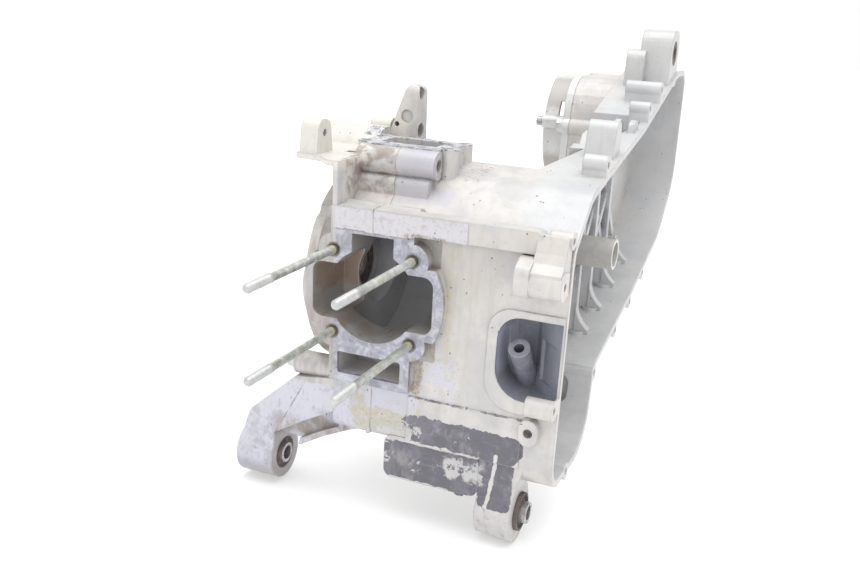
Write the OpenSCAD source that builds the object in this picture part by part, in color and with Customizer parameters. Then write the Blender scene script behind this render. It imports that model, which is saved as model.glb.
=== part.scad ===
// Crankcase of a small two-stroke scooter engine, in two cast halves.
// The origin is the middle of the cylinder mouth, in the plane of the cylinder face.
// X points to the belt-drive side, Y to the rear wheel and Z up. All sizes are millimetres.

/* [Cylinder face] */
// Pitch of the four cylinder studs, across and up
stud_pitch = 56; // [54:0.5:58]
// Diameter of the plain shank of a cylinder stud
stud_d = 5.4; // [5:0.1:5.8]
// Diameter of the threads of a cylinder stud
stud_thread_d = 6; // [6:0.1:7]
// Length of a cylinder stud that stands out of the face
stud_out = 101.7; // [90:0.1:115]
// Depth to which a cylinder stud is screwed in
stud_in = 20; // [14:1:24]
// Length of the thread on the outer end of a stud
stud_thread_len = 25; // [15:1:35]
// Diameter of the mouth that the cylinder spigot enters
mouth_d = 63; // [60:0.5:64]
// Width across the two side transfer passages
ear_w = 86; // [80:1:90]
// Height of a side transfer passage
ear_h = 38; // [34:1:42]
// Width of the top transfer passage
port_w = 29.6; // [24:0.2:32]
// Height of the roof of the top transfer passage above the bore axis
port_top = 40.5; // [38:0.5:43]
// Width of the pocket below the mouth
pocket_w = 46; // [40:1:48]
// Height of the pocket below the mouth
pocket_h = 15; // [12:0.5:17]
// Depth of the pocket below the mouth
pocket_deep = 30; // [20:1:36]

/* [Crank chamber] */
// Distance from the cylinder face back to the crank axis
crank_y = 72; // [70:0.5:76]
// Diameter of the crank chamber
chamber_d = 102; // [96:1:104]
// Width of the crank chamber between its cheeks
chamber_w = 54; // [50:1:56]
// Diameter of a main bearing seat
bearing_d = 52; // [47:1:55]
// Width of a main bearing seat
bearing_w = 15; // [13:0.5:16]
// Diameter of a crank seal seat
seal_d = 40; // [36:1:42]

/* [Belt tray] */
// Distance from the joint of the halves to the rim of the tray
rim_x = 128; // [122:1:134]
// Depth of the tray below its rim
tray_deep = 40; // [34:1:44]
// Thickness of the side wall of the tray
wall_t = 4.5; // [4:0.1:6]
// Thickness of the back wall of the tray
floor_t = 5; // [4:0.1:7]
// Thickness of a rib in the tray
rib_t = 5.8; // [4:0.1:7]
// Height of the ribs above the back wall
rib_h = 15; // [10:1:19]
// Diameter of the recess round the crank in the tray
variator_d = 112; // [106:1:114]
// Diameter of a screw hole in the rim
rim_hole_d = 5; // [4:0.1:6]
// Outer diameter of the tube pressed into the tray
tube_d = 22; // [20:0.5:24]
// Wall of the tube pressed into the tray
tube_t = 2.2; // [1.5:0.1:3]

/* [Intake] */
// Height of the intake pad above the bore axis
pad_z = 93; // [91:0.5:96]
// Width of the intake port
intake_w = 40; // [34:1:44]
// Length of the intake port
intake_l = 22; // [18:1:24]

/* [Engine mounts] */
// Distance of the mount axis behind the cylinder face
mount_y = 20; // [18:0.5:22]
// Distance of the mount axis below the bore axis
mount_drop = 137.5; // [134:0.5:142]
// Outer diameter of the mount boss on the belt side
left_boss_d = 39; // [36:0.5:42]
// Outer diameter of the mount boss on the magneto side
right_boss_d = 37; // [34:0.5:39]
// Bore of a mount boss
mount_bore_d = 24; // [22:0.5:25]
// Outer diameter of a mount sleeve
sleeve_d = 14.5; // [13:0.5:16]
// Bore of a mount sleeve
sleeve_bore_d = 10.2; // [10:0.1:11]

/* [Final drive] */
// Distance of the driven pulley axis behind the cylinder face
pulley_y = 300; // [296:1:304]
// Height of the driven pulley axis above the bore axis
pulley_z = 62; // [60:1:64]
// Distance of the wheel axle behind the cylinder face
axle_y = 332; // [330:1:336]
// Height of the wheel axle above the bore axis
axle_z = 78; // [76:1:80]
// Outer diameter of the brake ring
ring_d = 97; // [94:1:100]
// Wall of the brake ring
ring_t = 4; // [3:0.5:6]
// Distance from the joint of the halves to the free edge of the brake ring
ring_x = 24; // [22:1:27]
// Thickness of the gearbox cover plate
cover_t = 6; // [5:0.5:7]

/* [Magneto side] */
// Outer diameter of the magneto skirt
dish_d = 139; // [136:1:142]
// Distance from the joint of the halves to the edge of the magneto skirt
dish_x = 50.5; // [48:0.5:54]
// Wall of the magneto skirt
dish_t = 4; // [3:0.5:5]
// Height of the flat shelf above the bore axis
shelf_z = 82; // [80:1:85]
// Thickness of the flat shelf
shelf_t = 3.5; // [3:0.1:5]

/* [Joints of the castings] */
// Thickness of the paper gaskets
gasket_t = 0.5; // [0.3:0.1:0.8]
// Diameter of the case bolts
bolt_d = 6; // [5:0.5:7]
// Clearance of a bolt in its hole, across the diameter
bolt_slack = 0.6; // [0.4:0.1:1]
// Clearance of a pressed or slid fit, across the diameter
fit_slack = 0.04; // [0.02:0.01:0.1]

/* [Hidden] */
$fn = 48;

paint = [0.86, 0.85, 0.82];
zinc = [0.72, 0.7, 0.6];
steel = [0.6, 0.6, 0.6];
black = [0.12, 0.12, 0.13];
brass = [0.62, 0.53, 0.33];

half_pitch = stud_pitch / 2;
floor_x = rim_x - tray_deep;
split = gasket_t / 2;
chamber_r = chamber_d / 2;
cheek_x = chamber_w / 2;
seat_x = cheek_x + bearing_w;
case_wall = 6;
ledge_z = 57;
foot_z = -62;
mount_z = -mount_drop;

// Corners of the tray outline, seen from the belt side, as [y, z, corner radius].
nose_front = [3, -113, 20];
nose_rear = [92, -116, 38];
knee = [102, -59, 12];
rim_corners = [
    nose_front, nose_rear, knee, [215, -37, 120], [318, -9, 55], [366, 32, 45], [367, 133, 16],
    [325, 134.5, 70], [197, 101.5, 160], [84, 82.5, 90], [46, 75, 22], [10.5, 46, 15]
];
// Corners of the casting behind the tray, seen from the belt side.
body_rear_y = crank_y + chamber_r + case_wall;
body_corners = [
    [3.6, -100, 8], [62, -100, 22], [100, -62, 16], [body_rear_y, -40, 24], [body_rear_y, 52, 30],
    [84, 82.5, 24], [46, 75, 22], [10.5, 46, 15]
];

// Points along the round corner at b between the sides to a and to c.
function unit(v) = v / norm(v);
function round_corner(a, b, c, r, steps = 6) =
    let (
        u = unit(a - b),
        v = unit(c - b),
        half = acos(max(-1, min(1, u * v))) / 2,
        reach = min(r / tan(half), 0.49 * norm(a - b), 0.49 * norm(c - b)),
        radius = reach * tan(half),
        centre = b + unit(u + v) * radius / sin(half),
        from = b + u * reach - centre,
        to = b + v * reach - centre,
        turn = acos(max(-1, min(1, (from * to) / (radius * radius)))),
        side = from[0] * to[1] - from[1] * to[0] > 0 ? 1 : -1
    )
    [for (i = [0:steps])
        let (t = side * turn * i / steps)
        centre + [from[0] * cos(t) - from[1] * sin(t), from[0] * sin(t) + from[1] * cos(t)]];
function flat(p) = [p[0], p[1]];
function round_loop(corners, steps = 6) =
    let (n = len(corners))
    [for (i = [0:n - 1])
        each round_corner(flat(corners[(i + n - 1) % n]), flat(corners[i]),
                          flat(corners[(i + 1) % n]), corners[i][2], steps)];
// The same corners moved inwards by t; the corners run anticlockwise.
function turn_at(a, b, c) = (b[0] - a[0]) * (c[1] - b[1]) - (b[1] - a[1]) * (c[0] - b[0]);
function inset(corners, t) =
    let (n = len(corners))
    [for (i = [0:n - 1])
        let (
            a = flat(corners[(i + n - 1) % n]),
            b = flat(corners[i]),
            c = flat(corners[(i + 1) % n]),
            p = unit(b - a),
            q = unit(c - b),
            m = [-p[1], p[0]],
            k = [-q[1], q[0]],
            spot = b + (m + k) * t / (1 + m * k),
            r = turn_at(a, b, c) > 0 ? max(corners[i][2] - t, 1) : corners[i][2] + t
        )
        [spot[0], spot[1], r]];

// Flat shapes are drawn as [y, z] for along_x and as [x, z] for along_y.
module along_x(x0, x1) {
    translate([x0, 0, 0]) rotate([90, 0, 90]) linear_extrude(x1 - x0) children();
}
module along_y(y0, y1) {
    translate([0, y1, 0]) rotate([90, 0, 0]) linear_extrude(y1 - y0) children();
}
module bar_x(x0, x1, y, z, d) {
    translate([x0, y, z]) rotate([0, 90, 0]) cylinder(h = x1 - x0, d = d);
}
module bar_y(y0, y1, x, z, d) {
    translate([x, y0, z]) rotate([-90, 0, 0]) cylinder(h = y1 - y0, d = d);
}
module bar_z(z0, z1, x, y, d) {
    translate([x, y, z0]) cylinder(h = z1 - z0, d = d);
}
module block(x0, x1, y0, y1, z0, z1) {
    translate([x0, y0, z0]) cube([x1 - x0, y1 - y0, z1 - z0]);
}
module soft_rect(a0, a1, b0, b1, r) {
    translate([a0 + r, b0]) square([a1 - a0 - 2 * r, b1 - b0]);
    translate([a0, b0 + r]) square([a1 - a0, b1 - b0 - 2 * r]);
    for (a = [a0 + r, a1 - r], b = [b0 + r, b1 - r]) translate([a, b]) circle(r = r);
}
// A slab that lies t0 to t1 behind the slanted front of the castings.
function front_at(z) = 3 + (z + 113) * 7.5 / 159;
module front_slab(x0, x1, z0, z1, t0, t1) {
    along_x(x0, x1) polygon([
        [front_at(z0) + t0, z0], [front_at(z0) + t1, z0], [front_at(z1) + t1, z1], [front_at(z1) + t0, z1]
    ]);
}
module on_studs() {
    for (x = [-half_pitch, half_pitch], z = [-half_pitch, half_pitch]) translate([x, 0, z]) children();
}

// Bolts that hold the halves together, as [y, z, distance of the head from the joint].
case_bolt_spots = [
    [15, -61, 61.5], [50, -72, 30], [body_rear_y + 2, -34, 30], [body_rear_y + 2, 40, 30],
    [92, 72, 30], [17, 50, 30]
];
case_boss_d = 17;
dowel_spots = [[36, -62], [108, 62]];
dowel_d = 10;
dowel_len = 16;

// Screw bosses round the rim of the tray, as
// [y, z, boss diameter, boss length, direction of the neck in degrees, length of the neck].
rim_bosses = [
    [8, 53.5, 10.5, 14, 0, 6], [-4.5, 28.5, 18, 29, 0, 9], [-3.5, -51, 13, 18, 0, 10], [43, -113, 12, 22, 90, 2],
    [102, -63, 12, 24, 180, 4], [163, -50, 11, 16, 90, 6], [211, -40.5, 11, 16, 90, 6], [255, -28, 11, 16, 90, 5],
    [250, 124, 12, 28, -90, 12], [208, 113, 10, 15, -90, 12], [81, 88.5, 12, 16, -90, 10]
];
rim_hole_deep = 14;

// Cylinder face

module face_outline() {
    intersection() {
        circle(r = ear_w / 2 + 7.5);
        square([ear_w + 20, ear_h + 10], center = true);
    }
    translate([-30, foot_z]) square([58.5, ledge_z - foot_z]);
    for (x = [-half_pitch, half_pitch], z = [-half_pitch, half_pitch]) translate([x, z]) circle(r = 11);
}
module mouth_outline() {
    difference() {
        union() {
            circle(d = mouth_d);
            soft_rect(-ear_w / 2, ear_w / 2, -ear_h / 2, ear_h / 2, 7);
            translate([-port_w / 2, 0]) square([port_w, port_top]);
        }
        for (x = [-half_pitch, half_pitch], z = [-half_pitch, half_pitch])
            translate([x, z]) circle(r = 8.2);
    }
}
pocket_z = foot_z + 5.5 + pocket_h / 2;
module base_block() {
    ear_deep = 40;
    along_y(0, 14) face_outline();
    intersection() {
        along_y(0, ear_deep) intersection() {
            circle(r = ear_w / 2 + 7.5);
            square([ear_w + 20, ear_h + 10], center = true);
        }
        bar_x(-ear_w, ear_w, crank_y, 0, 2 * crank_y);
    }
}
module base_cuts() {
    passage_deep = 44;
    along_y(-1, passage_deep) mouth_outline();
    bar_y(-1, crank_y, 0, 0, mouth_d);
    along_y(-1, pocket_deep)
        soft_rect(-pocket_w / 2 - 0.8, pocket_w / 2 - 0.8, pocket_z - pocket_h / 2, pocket_z + pocket_h / 2, 1.5);
    on_studs() {
        bar_y(-1, stud_in + 2, 0, 0, stud_thread_d + fit_slack);
        translate([0, -0.01, 0]) rotate([-90, 0, 0]) cylinder(h = 1.6, d1 = 10, d2 = stud_thread_d);
    }
}
module crank_cuts() {
    bar_x(-cheek_x, cheek_x, crank_y, 0, chamber_d);
    bar_x(-seat_x, seat_x, crank_y, 0, bearing_d);
}

// Intake pad, screwed face up, with its round front boss

module pad_outline() {
    translate([-32, 46]) square([64, 32]);
    for (x = [-30, 0, 30]) translate([x, 76]) circle(r = 5.5);
    for (x = [-30, 30]) translate([x, 50]) circle(r = 6.5);
    translate([-26, 39]) square([52, 11]);
}
stay_y = 39.5;
stay_z = 82.5;
module intake_pad() {
    translate([0, 0, 56]) linear_extrude(pad_z - 56) pad_outline();
    bar_x(-29.5, 27, stay_y, stay_z, 19);
    along_x(-26, 24) polygon(round_loop([[30, 50, 1], [60, 50, 1], [60, 76, 1], [39, 76, 1], [30, 72.5, 5]]));
}
module intake_cuts() {
    port_y = 61;
    translate([0, port_y, 0]) linear_extrude(pad_z + 1) square([intake_w, intake_l], center = true);
    bar_x(-40, 40, stay_y, stay_z, 8.2);
    for (x = [-30, 30], y = [50, 76]) bar_z(pad_z - 14, pad_z + 1, x, y, 5);
}

// Belt tray with its ribs

// The roof of the tray slopes down away from the rim towards the wheel side.
roof_lean = atan(0.555);
module above_roof(drop) {
    multmatrix([[1, 0, 0, 0], [0, 1, 0, 0], [tan(roof_lean), -0.02, 1, 0], [0, 0, 0, 1]])
        translate([floor_x - 60, 84, 82.3 - (floor_x - 4) * tan(roof_lean) + 0.02 * 84 - drop])
            cube([120, 320, 90]);
}
module tray_shell() {
    difference() {
        union() {
            along_x(floor_x - floor_t, rim_x) polygon(round_loop(rim_corners));
            along_x(split, floor_x) polygon(round_loop(body_corners));
        }
        roof_cut();
    }
}
module roof_cut() {
    intersection() {
        above_roof(0);
        block(0, rim_x - 6, 84, 215, 60, 140);
    }
}
module tray_space() {
    difference() {
        along_x(floor_x, rim_x + 1) polygon(round_loop(inset(rim_corners, wall_t)));
        intersection() {
            above_roof(wall_t);
            block(0, rim_x - 6, 84, 219, 60, 140);
        }
    }
    bar_x(seat_x + 8, rim_x, crank_y, 0, variator_d);
}
// The ribs stand on the back wall, as [y of the foot, top above the bore axis].
rib_feet = [[139, 100], [177, 110], [218, 110], [257, -2]];
foot_t = rib_t + 1.6;
module rib(y, top) {
    block(floor_x - 1, floor_x + rib_h, y - rib_t / 2, y + rib_t / 2, -60, top);
}
// The ribs that fall towards the rear are a little lower than those that rise.
module cross_rib(y0, z0, y1, z1) {
    span = norm([y1 - y0, z1 - z0]);
    high = rib_h * (y1 > y0 ? 0.8 : 0.76);
    translate([floor_x - 1, y0, z0]) rotate([atan2(z1 - z0, y1 - y0), 0, 0])
        translate([0, 0, -rib_t / 2]) cube([high + 1, span, rib_t]);
}
// A quarter-round foot that carries a rib out on to the floor, with a round pad under it.
module rib_foot(y, z) {
    curve_r = 23.5;
    rib_x = floor_x + rib_h;
    difference() {
        block(rib_x - 1, rib_x + 10, y - foot_t / 2, y + foot_t / 2, z - 4, z + curve_r - 1.5);
        bar_y(y - foot_t, y + foot_t, rib_x + curve_r - 0.5, z + curve_r - 1.5, 2 * curve_r);
    }
    bar_z(z - 4, z + 1.2, rib_x + 1, y, 14);
}
function floor_line(y) = y < 215 ? -59 + (y - 102) * 22 / 113 : -37 + (y - 215) * 28 / 103;
module tray_ribs() {
    intersection() {
        along_x(floor_x - 1, rim_x - 2) polygon(round_loop(inset(rim_corners, wall_t / 2)));
        difference() {
            union() {
                for (r = rib_feet) {
                    rib(r[0], r[1]);
                    rib_foot(r[0], floor_line(r[0]) + wall_t);
                }
                cross_rib(136, -8, 218, 88);
                cross_rib(136, 52, 177, 100);
                cross_rib(177, -4, 257, 90);
                cross_rib(177, -4, 120, 66);
                cross_rib(218, 2, 136, 98);
                cross_rib(257, 2.5, 177, 94.5);
            }
            bar_x(floor_x, rim_x, crank_y, 0, variator_d);
        }
    }
}
tube_y = 130;
tube_z = 17.5;
module bosses_of_rim() {
    for (b = rim_bosses) {
        bar_x(rim_x - b[3], rim_x, b[0], b[1], b[2]);
        translate([rim_x - b[3], b[0], b[1]]) rotate([b[4], 0, 0])
            translate([0, 0, -0.4 * b[2]]) cube([b[3], b[5], 0.8 * b[2]]);
    }
}

// Blind oblong pocket in the rear wall of the front lobe
module slot_form(y0, y1, d) {
    slot_x = 104.5;
    low_z = -80;
    high_z = -73;
    for (z = [low_z, high_z]) bar_y(y0, y1, slot_x, z, d);
    block(slot_x - d / 2, slot_x + d / 2, y0, y1, low_z, high_z);
}

// Recess in the front wall with its slanted cable boss

recess_x0 = floor_x - 3;
recess_x1 = rim_x - 1.5;
recess_z0 = -53;
recess_z1 = 1;
recess_back = 32;
module recess_outline(grow) {
    x0 = recess_x0 - grow;
    x1 = recess_x1 + min(grow, 0);
    polygon(round_loop([
        [x0, recess_z0 - grow, 20], [x1 + 1, recess_z0 - grow, 0.5],
        [x1 + 1, recess_z1 + grow, 0.5], [x0, recess_z1 + grow, 15]
    ]));
}
module recess_plan(grow) {
    polygon([
        [recess_x0 - grow, -2], [recess_x1, -2], [recess_x1, 9],
        [recess_x1 - 22 + grow, recess_back + grow], [recess_x0 - grow, recess_back + grow]
    ]);
}
module recess_form(y0, grow) {
    intersection() {
        translate([0, 0, recess_z0 - 5]) linear_extrude(recess_z1 - recess_z0 + 10) recess_plan(grow);
        along_y(y0, recess_back + grow) recess_outline(grow);
    }
}
module recess_wall() {
    recess_form(9, 3.5);
    intersection() {
        translate([0, 0, -2]) along_y(0, 16) recess_outline(6.5);
        front_slab(recess_x0 - 8, rim_x, recess_z0 - 12, recess_z1 + 8, -1.2, 3);
    }
}
module recess_space() {
    recess_form(-2, 0);
    intersection() {
        recess_form(5, 1.6);
        block(recess_x1 - 18, recess_x1 - 2, 5, recess_back - 4, -45, -17);
    }
}
nozzle_lean = 40;
module recess_nozzle() {
    intersection() {
        translate([99, 9, -19]) rotate([nozzle_lean, 0, 0]) difference() {
            translate([0, 0, -46]) cylinder(h = 46, d1 = 13, d2 = 14);
            translate([0, 0, -12]) cylinder(h = 13, d = 6.8);
        }
        recess_form(0, 1);
    }
}

// Legs and arms that carry the engine

module left_leg() {
    intersection() {
        along_y(5, 36) polygon([[79, -92], [79, mount_z], [103, mount_z], [104, -120], [113, -84], [113, -60], [70, -60]]);
        along_x(60, 120) polygon([
            [front_at(-60), -60], [mount_y - left_boss_d / 2, mount_z], [mount_y + left_boss_d / 2, mount_z], [44, -60]
        ]);
    }
    translate([79, mount_y, mount_z]) rotate([0, 90, 0])
        cylinder(h = 25, d1 = left_boss_d - 0.5, d2 = left_boss_d + 3.5);
}
arm_low = -98.5;
arm_rear = 28;
arm_web_y = 15;
// The lower edge of the arm's front face, from the boss to the joint.
arm_ridge = [[-75.9, -115.5], [-68, -110.8], [-50, -100], [-35.6, -92.4], [-23.6, -86], [-14.6, -79.8], [-11, -75.6]];
arm_bottom = [[-59, -126], [-54.5, -120.8], [-37, -110.8], [-18.3, -102], [-split, -94.5]];
module right_arm() {
    crease_turn = 30.3;
    facet_lean = -8.5;
    difference() {
        intersection() {
            along_y(5, 40) polygon(round_loop([
                [-split, -60, 1], [-60, -69.5, 6], [-99, -104, 12], [-106.5, -128, 10], [-105.5, mount_z, 4],
                [-76, mount_z, 2], [-64, -131, 3], [-57.5, -123.8, 8], [-39.5, -113.6, 20], [-20.8, -104.6, 20],
                [-split, arm_low, 1]
            ]));
            along_x(-110, 0)
                polygon([[6, -58], [mount_y - 17, mount_z], [mount_y + 17, mount_z], [arm_rear, -112], [arm_rear, -58]]);
        }
        // the front below the ridge is hollow
        along_y(-2, arm_web_y) polygon(concat(arm_ridge, [[-split - 3, -75.6], [-split - 3, -145], [-75.9, -145]]));
        // the back is hollow above the lower flange
        along_y(24, 50)
            polygon(round_loop([[-96, -118, 4], [-60, -112, 8], [-8, -90, 4], [-8, -72, 4], [-56, -74, 6], [-94, -104, 8]]));
        // the outer facet falls away from a crease
        translate([-61, 5.2, -97]) rotate([0, crease_turn, 0]) rotate([0, 0, facet_lean])
            translate([-90, -20, -80]) cube([90, 20, 160]);
    }
    bar_x(-105.5, -76, mount_y, mount_z, right_boss_d);
    along_y(9, arm_web_y + 1) polygon(concat(arm_bottom, [[-split, -90.5], [-18.3, -97.6], [-37, -106.4], [-57, -117.2]]));
    block(-26, -22, 8, arm_web_y + 1, -103, -84);
}
module lump() {
    difference() {
        along_y(4.5, 58) soft_rect(11, 79, -127, -96, 6);
        block(16, 74, 9, 59, -128, -104);
    }
    block(12, 78, 30, 34, -124, -98);
    along_y(9, arm_rear) polygon([[split, -92], [split, arm_low], [14, -99], [14, -92]]);
    along_y(6, 14) soft_rect(62, 70, -129.5, -115, 3);
}

// Gearbox at the rear end of the tray

gear_x0 = 52;
gear_wall = 6;
ring_reach = ring_d / 2;
// The front edge takes in the driven pulley and the two bolts ahead of the brake ring.
gear_front_low = min(pulley_y - 40, axle_y - ring_reach - 23);
gear_front_top = min(pulley_y - 30, axle_y - ring_reach - 13.5);
// Corners of the gearbox, seen from the belt side.
gear_corners = [
    [gear_front_low, pulley_z - 38, 30], [axle_y + 36, axle_z - 50, 40],
    [axle_y + 36, axle_z + 48, 20], [gear_front_top, pulley_z + 64, 30]
];
// The bolts keep clear of the brake ring and of its anchor pin.
gear_bolt_spots = [
    [axle_y - ring_reach - 14.5, pulley_z - 26], [axle_y + 8, axle_z - 49], [axle_y + 33, axle_z + 8],
    [axle_y + 38.5, axle_z + 39], [axle_y - ring_reach - 13.5, pulley_z + 24]
];
gear_bolt_boss = 15;
module gear_ears() {
    for (s = gear_bolt_spots) translate(s) circle(d = gear_bolt_boss);
}
module gear_plate() {
    polygon(round_loop(gear_corners));
    gear_ears();
}
module gearbox_body() {
    along_x(gear_x0, floor_x - 1) gear_plate();
    bar_y(plug_y - 8, plug_y, plug_x, filler_z, 18);
    bar_z(drain_z, drain_z + 8, plug_x, drain_y, 18);
}
module gearbox_space() {
    along_x(gear_x0 - 1, floor_x - floor_t - 1) polygon(round_loop(inset(gear_corners, gear_wall)));
    bar_x(gear_x0, rim_x, pulley_y, pulley_z, 26);
    bar_x(gear_x0, floor_x - floor_t + 0.5, axle_y, axle_z, 35);
    for (s = gear_bolt_spots) bar_x(gear_x0 - 1, gear_x0 + 22, s[0], s[1], bolt_d + fit_slack);
}
gear_joint_x = gear_x0 - gasket_t;

// Shock absorber lug and the smaller lugs on top of the tray

shock_y = 303;
shock_z = 150;
shock_bore_d = 20;
shock_x0 = 101;
shock_x1 = 126;
module shock_lug() {
    along_x(shock_x0, shock_x1) polygon(round_loop([
        [shock_y - 17, 122, 3], [shock_y + 22, 122, 3], [shock_y + 16, 168, 12], [shock_y - 16, 168, 12]
    ]));
    along_x(shock_x0 - 10, shock_x0 + 5) polygon(round_loop([
        [shock_y - 24, 120, 3], [shock_y - 4, 120, 3], [shock_y - 4, 152, 8], [shock_y - 24, 152, 8]
    ]));
}
module top_lugs() {
    along_x(104, 124) polygon(round_loop([[108, 80, 3], [130, 84, 3], [130, 112, 9], [116, 112, 7]]));
    for (x = [108, 119]) along_x(x, x + 4.5)
        polygon(round_loop([[172, 92, 2], [192, 96, 2], [188, 107, 5], [176, 105, 5]]));
}

// Belt-side half of the crankcase

module left_case() {
    color(paint) difference() {
        union() {
            difference() {
                union() {
                    tray_shell();
                    intersection() {
                        union() {
                            base_block();
                            intake_pad();
                        }
                        block(split, 200, -50, 200, -200, 200);
                    }
                    front_band(split, 111, 64);
                    front_ledge();
                    slot_form(86, 104, 20);
                    gearbox_body();
                    lump();
                    left_leg();
                }
                tray_space();
            }
            tray_ribs();
            bosses_of_rim();
            recess_wall();
            corner_cluster();
            shock_lug();
            top_lugs();
            front_lug();
            bar_x(floor_x - 1, floor_x + 12, tube_y, tube_z, tube_d + 7);
            for (s = case_bolt_spots) bar_x(split, 26, s[0], s[1], case_boss_d);
        }
        base_cuts();
        crank_cuts();
        intake_cuts();
        recess_space();
        slot_form(80, 101, 14);
        gearbox_space();
        bar_x(0, rim_x, crank_y, 0, seal_d);
        bar_x(floor_x - 2, rim_x + 2, tube_y, tube_z, tube_d + fit_slack);
        bar_x(60, 120, mount_y, mount_z, mount_bore_d + fit_slack);
        bar_x(shock_x0 - 1, rim_x, shock_y, shock_z, shock_bore_d + fit_slack);
        for (b = rim_bosses) bar_x(rim_x - rim_hole_deep, rim_x + 1, b[0], b[1], rim_hole_d);
        for (s = case_bolt_spots) bar_x(0, 22, s[0], s[1], bolt_d + fit_slack);
        for (s = dowel_spots) bar_x(0, dowel_len / 2 + 0.5, s[0], s[1], dowel_d + fit_slack);
        bar_y(-4, 12, 111.5, -71, 6);
        plug_holes();
    }
    color(paint) recess_nozzle();
}
// The band above the cylinder face; its machined part ends at proud_x.
module front_band(x0, x1, proud_x) {
    band_z = 44;
    past_joint = 6;
    along_y(0.6, 12) intersection() {
        soft_rect(x0 > 0 ? x0 - past_joint : x0, x0 > 0 ? x1 : x1 + past_joint, band_z, ledge_z + 1, 5);
        translate([x0, band_z]) square([x1 - x0, ledge_z]);
    }
    along_y(0, 12) translate([x0, band_z]) square([proud_x - x0, ledge_z - band_z]);
}
// A tall pad beside the big screw boss, and the hollow web that runs from it up to the top corner
module corner_cluster() {
    pad_x0 = 98.5;
    web_x0 = 107.5;
    along_x(pad_x0, web_x0 + 0.5)
        polygon(round_loop([[-13.5, 20.5, 6], [9, 16.5, 1], [11, 43, 1], [-3, 43, 5], [-13.5, 37.5, 7]]));
    along_x(web_x0, rim_x - 1) polygon([
        [-11, 24], [8, 20], [9, 56.5], [1.7, 56.5], [-0.1, 52], [-1.9, 46.5], [-5.6, 41], [-11.5, 36]
    ]);
}
module front_ledge() {
    front_slab(27, 106, -98, -65, -1, 3);
}
module front_lug() {
    along_y(-0.5, 12) soft_rect(105, 118, -80, -62, 6.4);
}
// Oil drain and level holes of the gearbox
plug_d = 8;
plug_x = 68;
drain_y = pulley_y;
drain_z = pulley_z - 37.5;
plug_y = axle_y + 37;
filler_z = axle_z - 12;
module plug_holes() {
    bar_z(drain_z - 10, drain_z + 12, plug_x, drain_y, plug_d + fit_slack);
    bar_y(plug_y - 12, plug_y + 1, plug_x, filler_z, plug_d + fit_slack);
}

// Magneto-side half of the crankcase

module right_body() {
    along_x(-28.5, -split) polygon(round_loop(body_corners));
    bar_x(-seat_x - 9, -20, crank_y, 0, bearing_d + 16);
}
module magneto_skirt() {
    difference() {
        bar_x(-dish_x, -26, crank_y, 0, dish_d);
        bar_x(-dish_x - 1, -32, crank_y, 0, dish_d - 2 * dish_t);
    }
}
module shelf() {
    translate([0, 0, shelf_z]) linear_extrude(shelf_t)
        polygon(round_loop([[-28, 0.5, 2], [-28, 120, 4], [-78, 120, 8], [-65, 14, 3], [-44, 11, 8], [-36, 2, 6]]));
    along_x(-29.5, -26) polygon([[0.5, 52], [50, 52], [96, 60], [118, 66], [118, shelf_z + 1], [0.5, shelf_z + shelf_t]]);
    along_x(-62, -49) polygon(round_loop([[14, shelf_z, 1], [36, shelf_z, 1], [32, 106.5, 7], [17, 108.5, 7]]));
    intersection() {
        bar_x(-84, -34, 90, 72, 50);
        block(-90, -30, 60, 120, shelf_z, 120);
    }
}
module rear_bracket() {
    difference() {
        intersection() {
            along_y(92, 112)
                polygon(round_loop([[-38, 70, 1], [-13.5, 70, 1], [-13.5, 126, 5], [-22, 128, 5], [-34, 94, 4]]));
            along_x(-50, 0) polygon(round_loop([[92, 70, 1], [112, 70, 1], [110, 128, 8], [95, 128, 8]]));
        }
        bar_x(-20, 0, 101, 121, 9);
        bar_x(-22, 0, 101, 95, 10.5);
        bar_y(88, 96, -21.5, 105, 9);
        bar_y(88, 104, -29, 99, 3.4);
    }
    along_x(-52, -36) polygon(round_loop([[96, 80, 1], [112, 80, 1], [110, 101.5, 6], [98, 101.5, 6]]));
}
module right_case() {
    color(paint) difference() {
        union() {
            right_body();
            intersection() {
                union() {
                    base_block();
                    intake_pad();
                }
                block(-200, -split, -50, 200, -200, 200);
            }
            front_band(-28.5, -split, -split);
            magneto_skirt();
            shelf();
            rear_bracket();
            right_arm();
            for (s = case_bolt_spots) bar_x(-s[2], -split, s[0], s[1], case_boss_d);
        }
        base_cuts();
        crank_cuts();
        intake_cuts();
        bar_x(-90, 0, crank_y, 0, seal_d);
        bar_x(-120, -58, mount_y, mount_z, mount_bore_d + fit_slack);
        bar_x(-76, -50, mount_y, mount_z, right_boss_d + 1);
        bar_x(-64, -40, 25, 98.5, 5);
        for (s = case_bolt_spots) bar_x(-90, 0, s[0], s[1], bolt_d + bolt_slack);
        for (s = case_bolt_spots) bar_x(-90, -s[2], s[0], s[1], 13);
        for (s = dowel_spots) bar_x(-dowel_len / 2 - 0.5, 1, s[0], s[1], dowel_d + fit_slack);
    }
}

// Gasket, dowels and bolts between the halves

module joint_gasket() {
    difference() {
        intersection() {
            block(-split, split, -1, 140, -120, pad_z);
            union() {
                along_x(-1, 1) polygon(round_loop(body_corners));
                base_block();
                intake_pad();
                front_band(-1, 1, 1);
                for (s = case_bolt_spots) bar_x(-1, 1, s[0], s[1], case_boss_d);
            }
        }
        base_cuts();
        crank_cuts();
        intake_cuts();
        for (s = case_bolt_spots) bar_x(-1, 1, s[0], s[1], bolt_d + bolt_slack);
        for (s = dowel_spots) bar_x(-1, 1, s[0], s[1], dowel_d + bolt_slack);
    }
}
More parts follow.
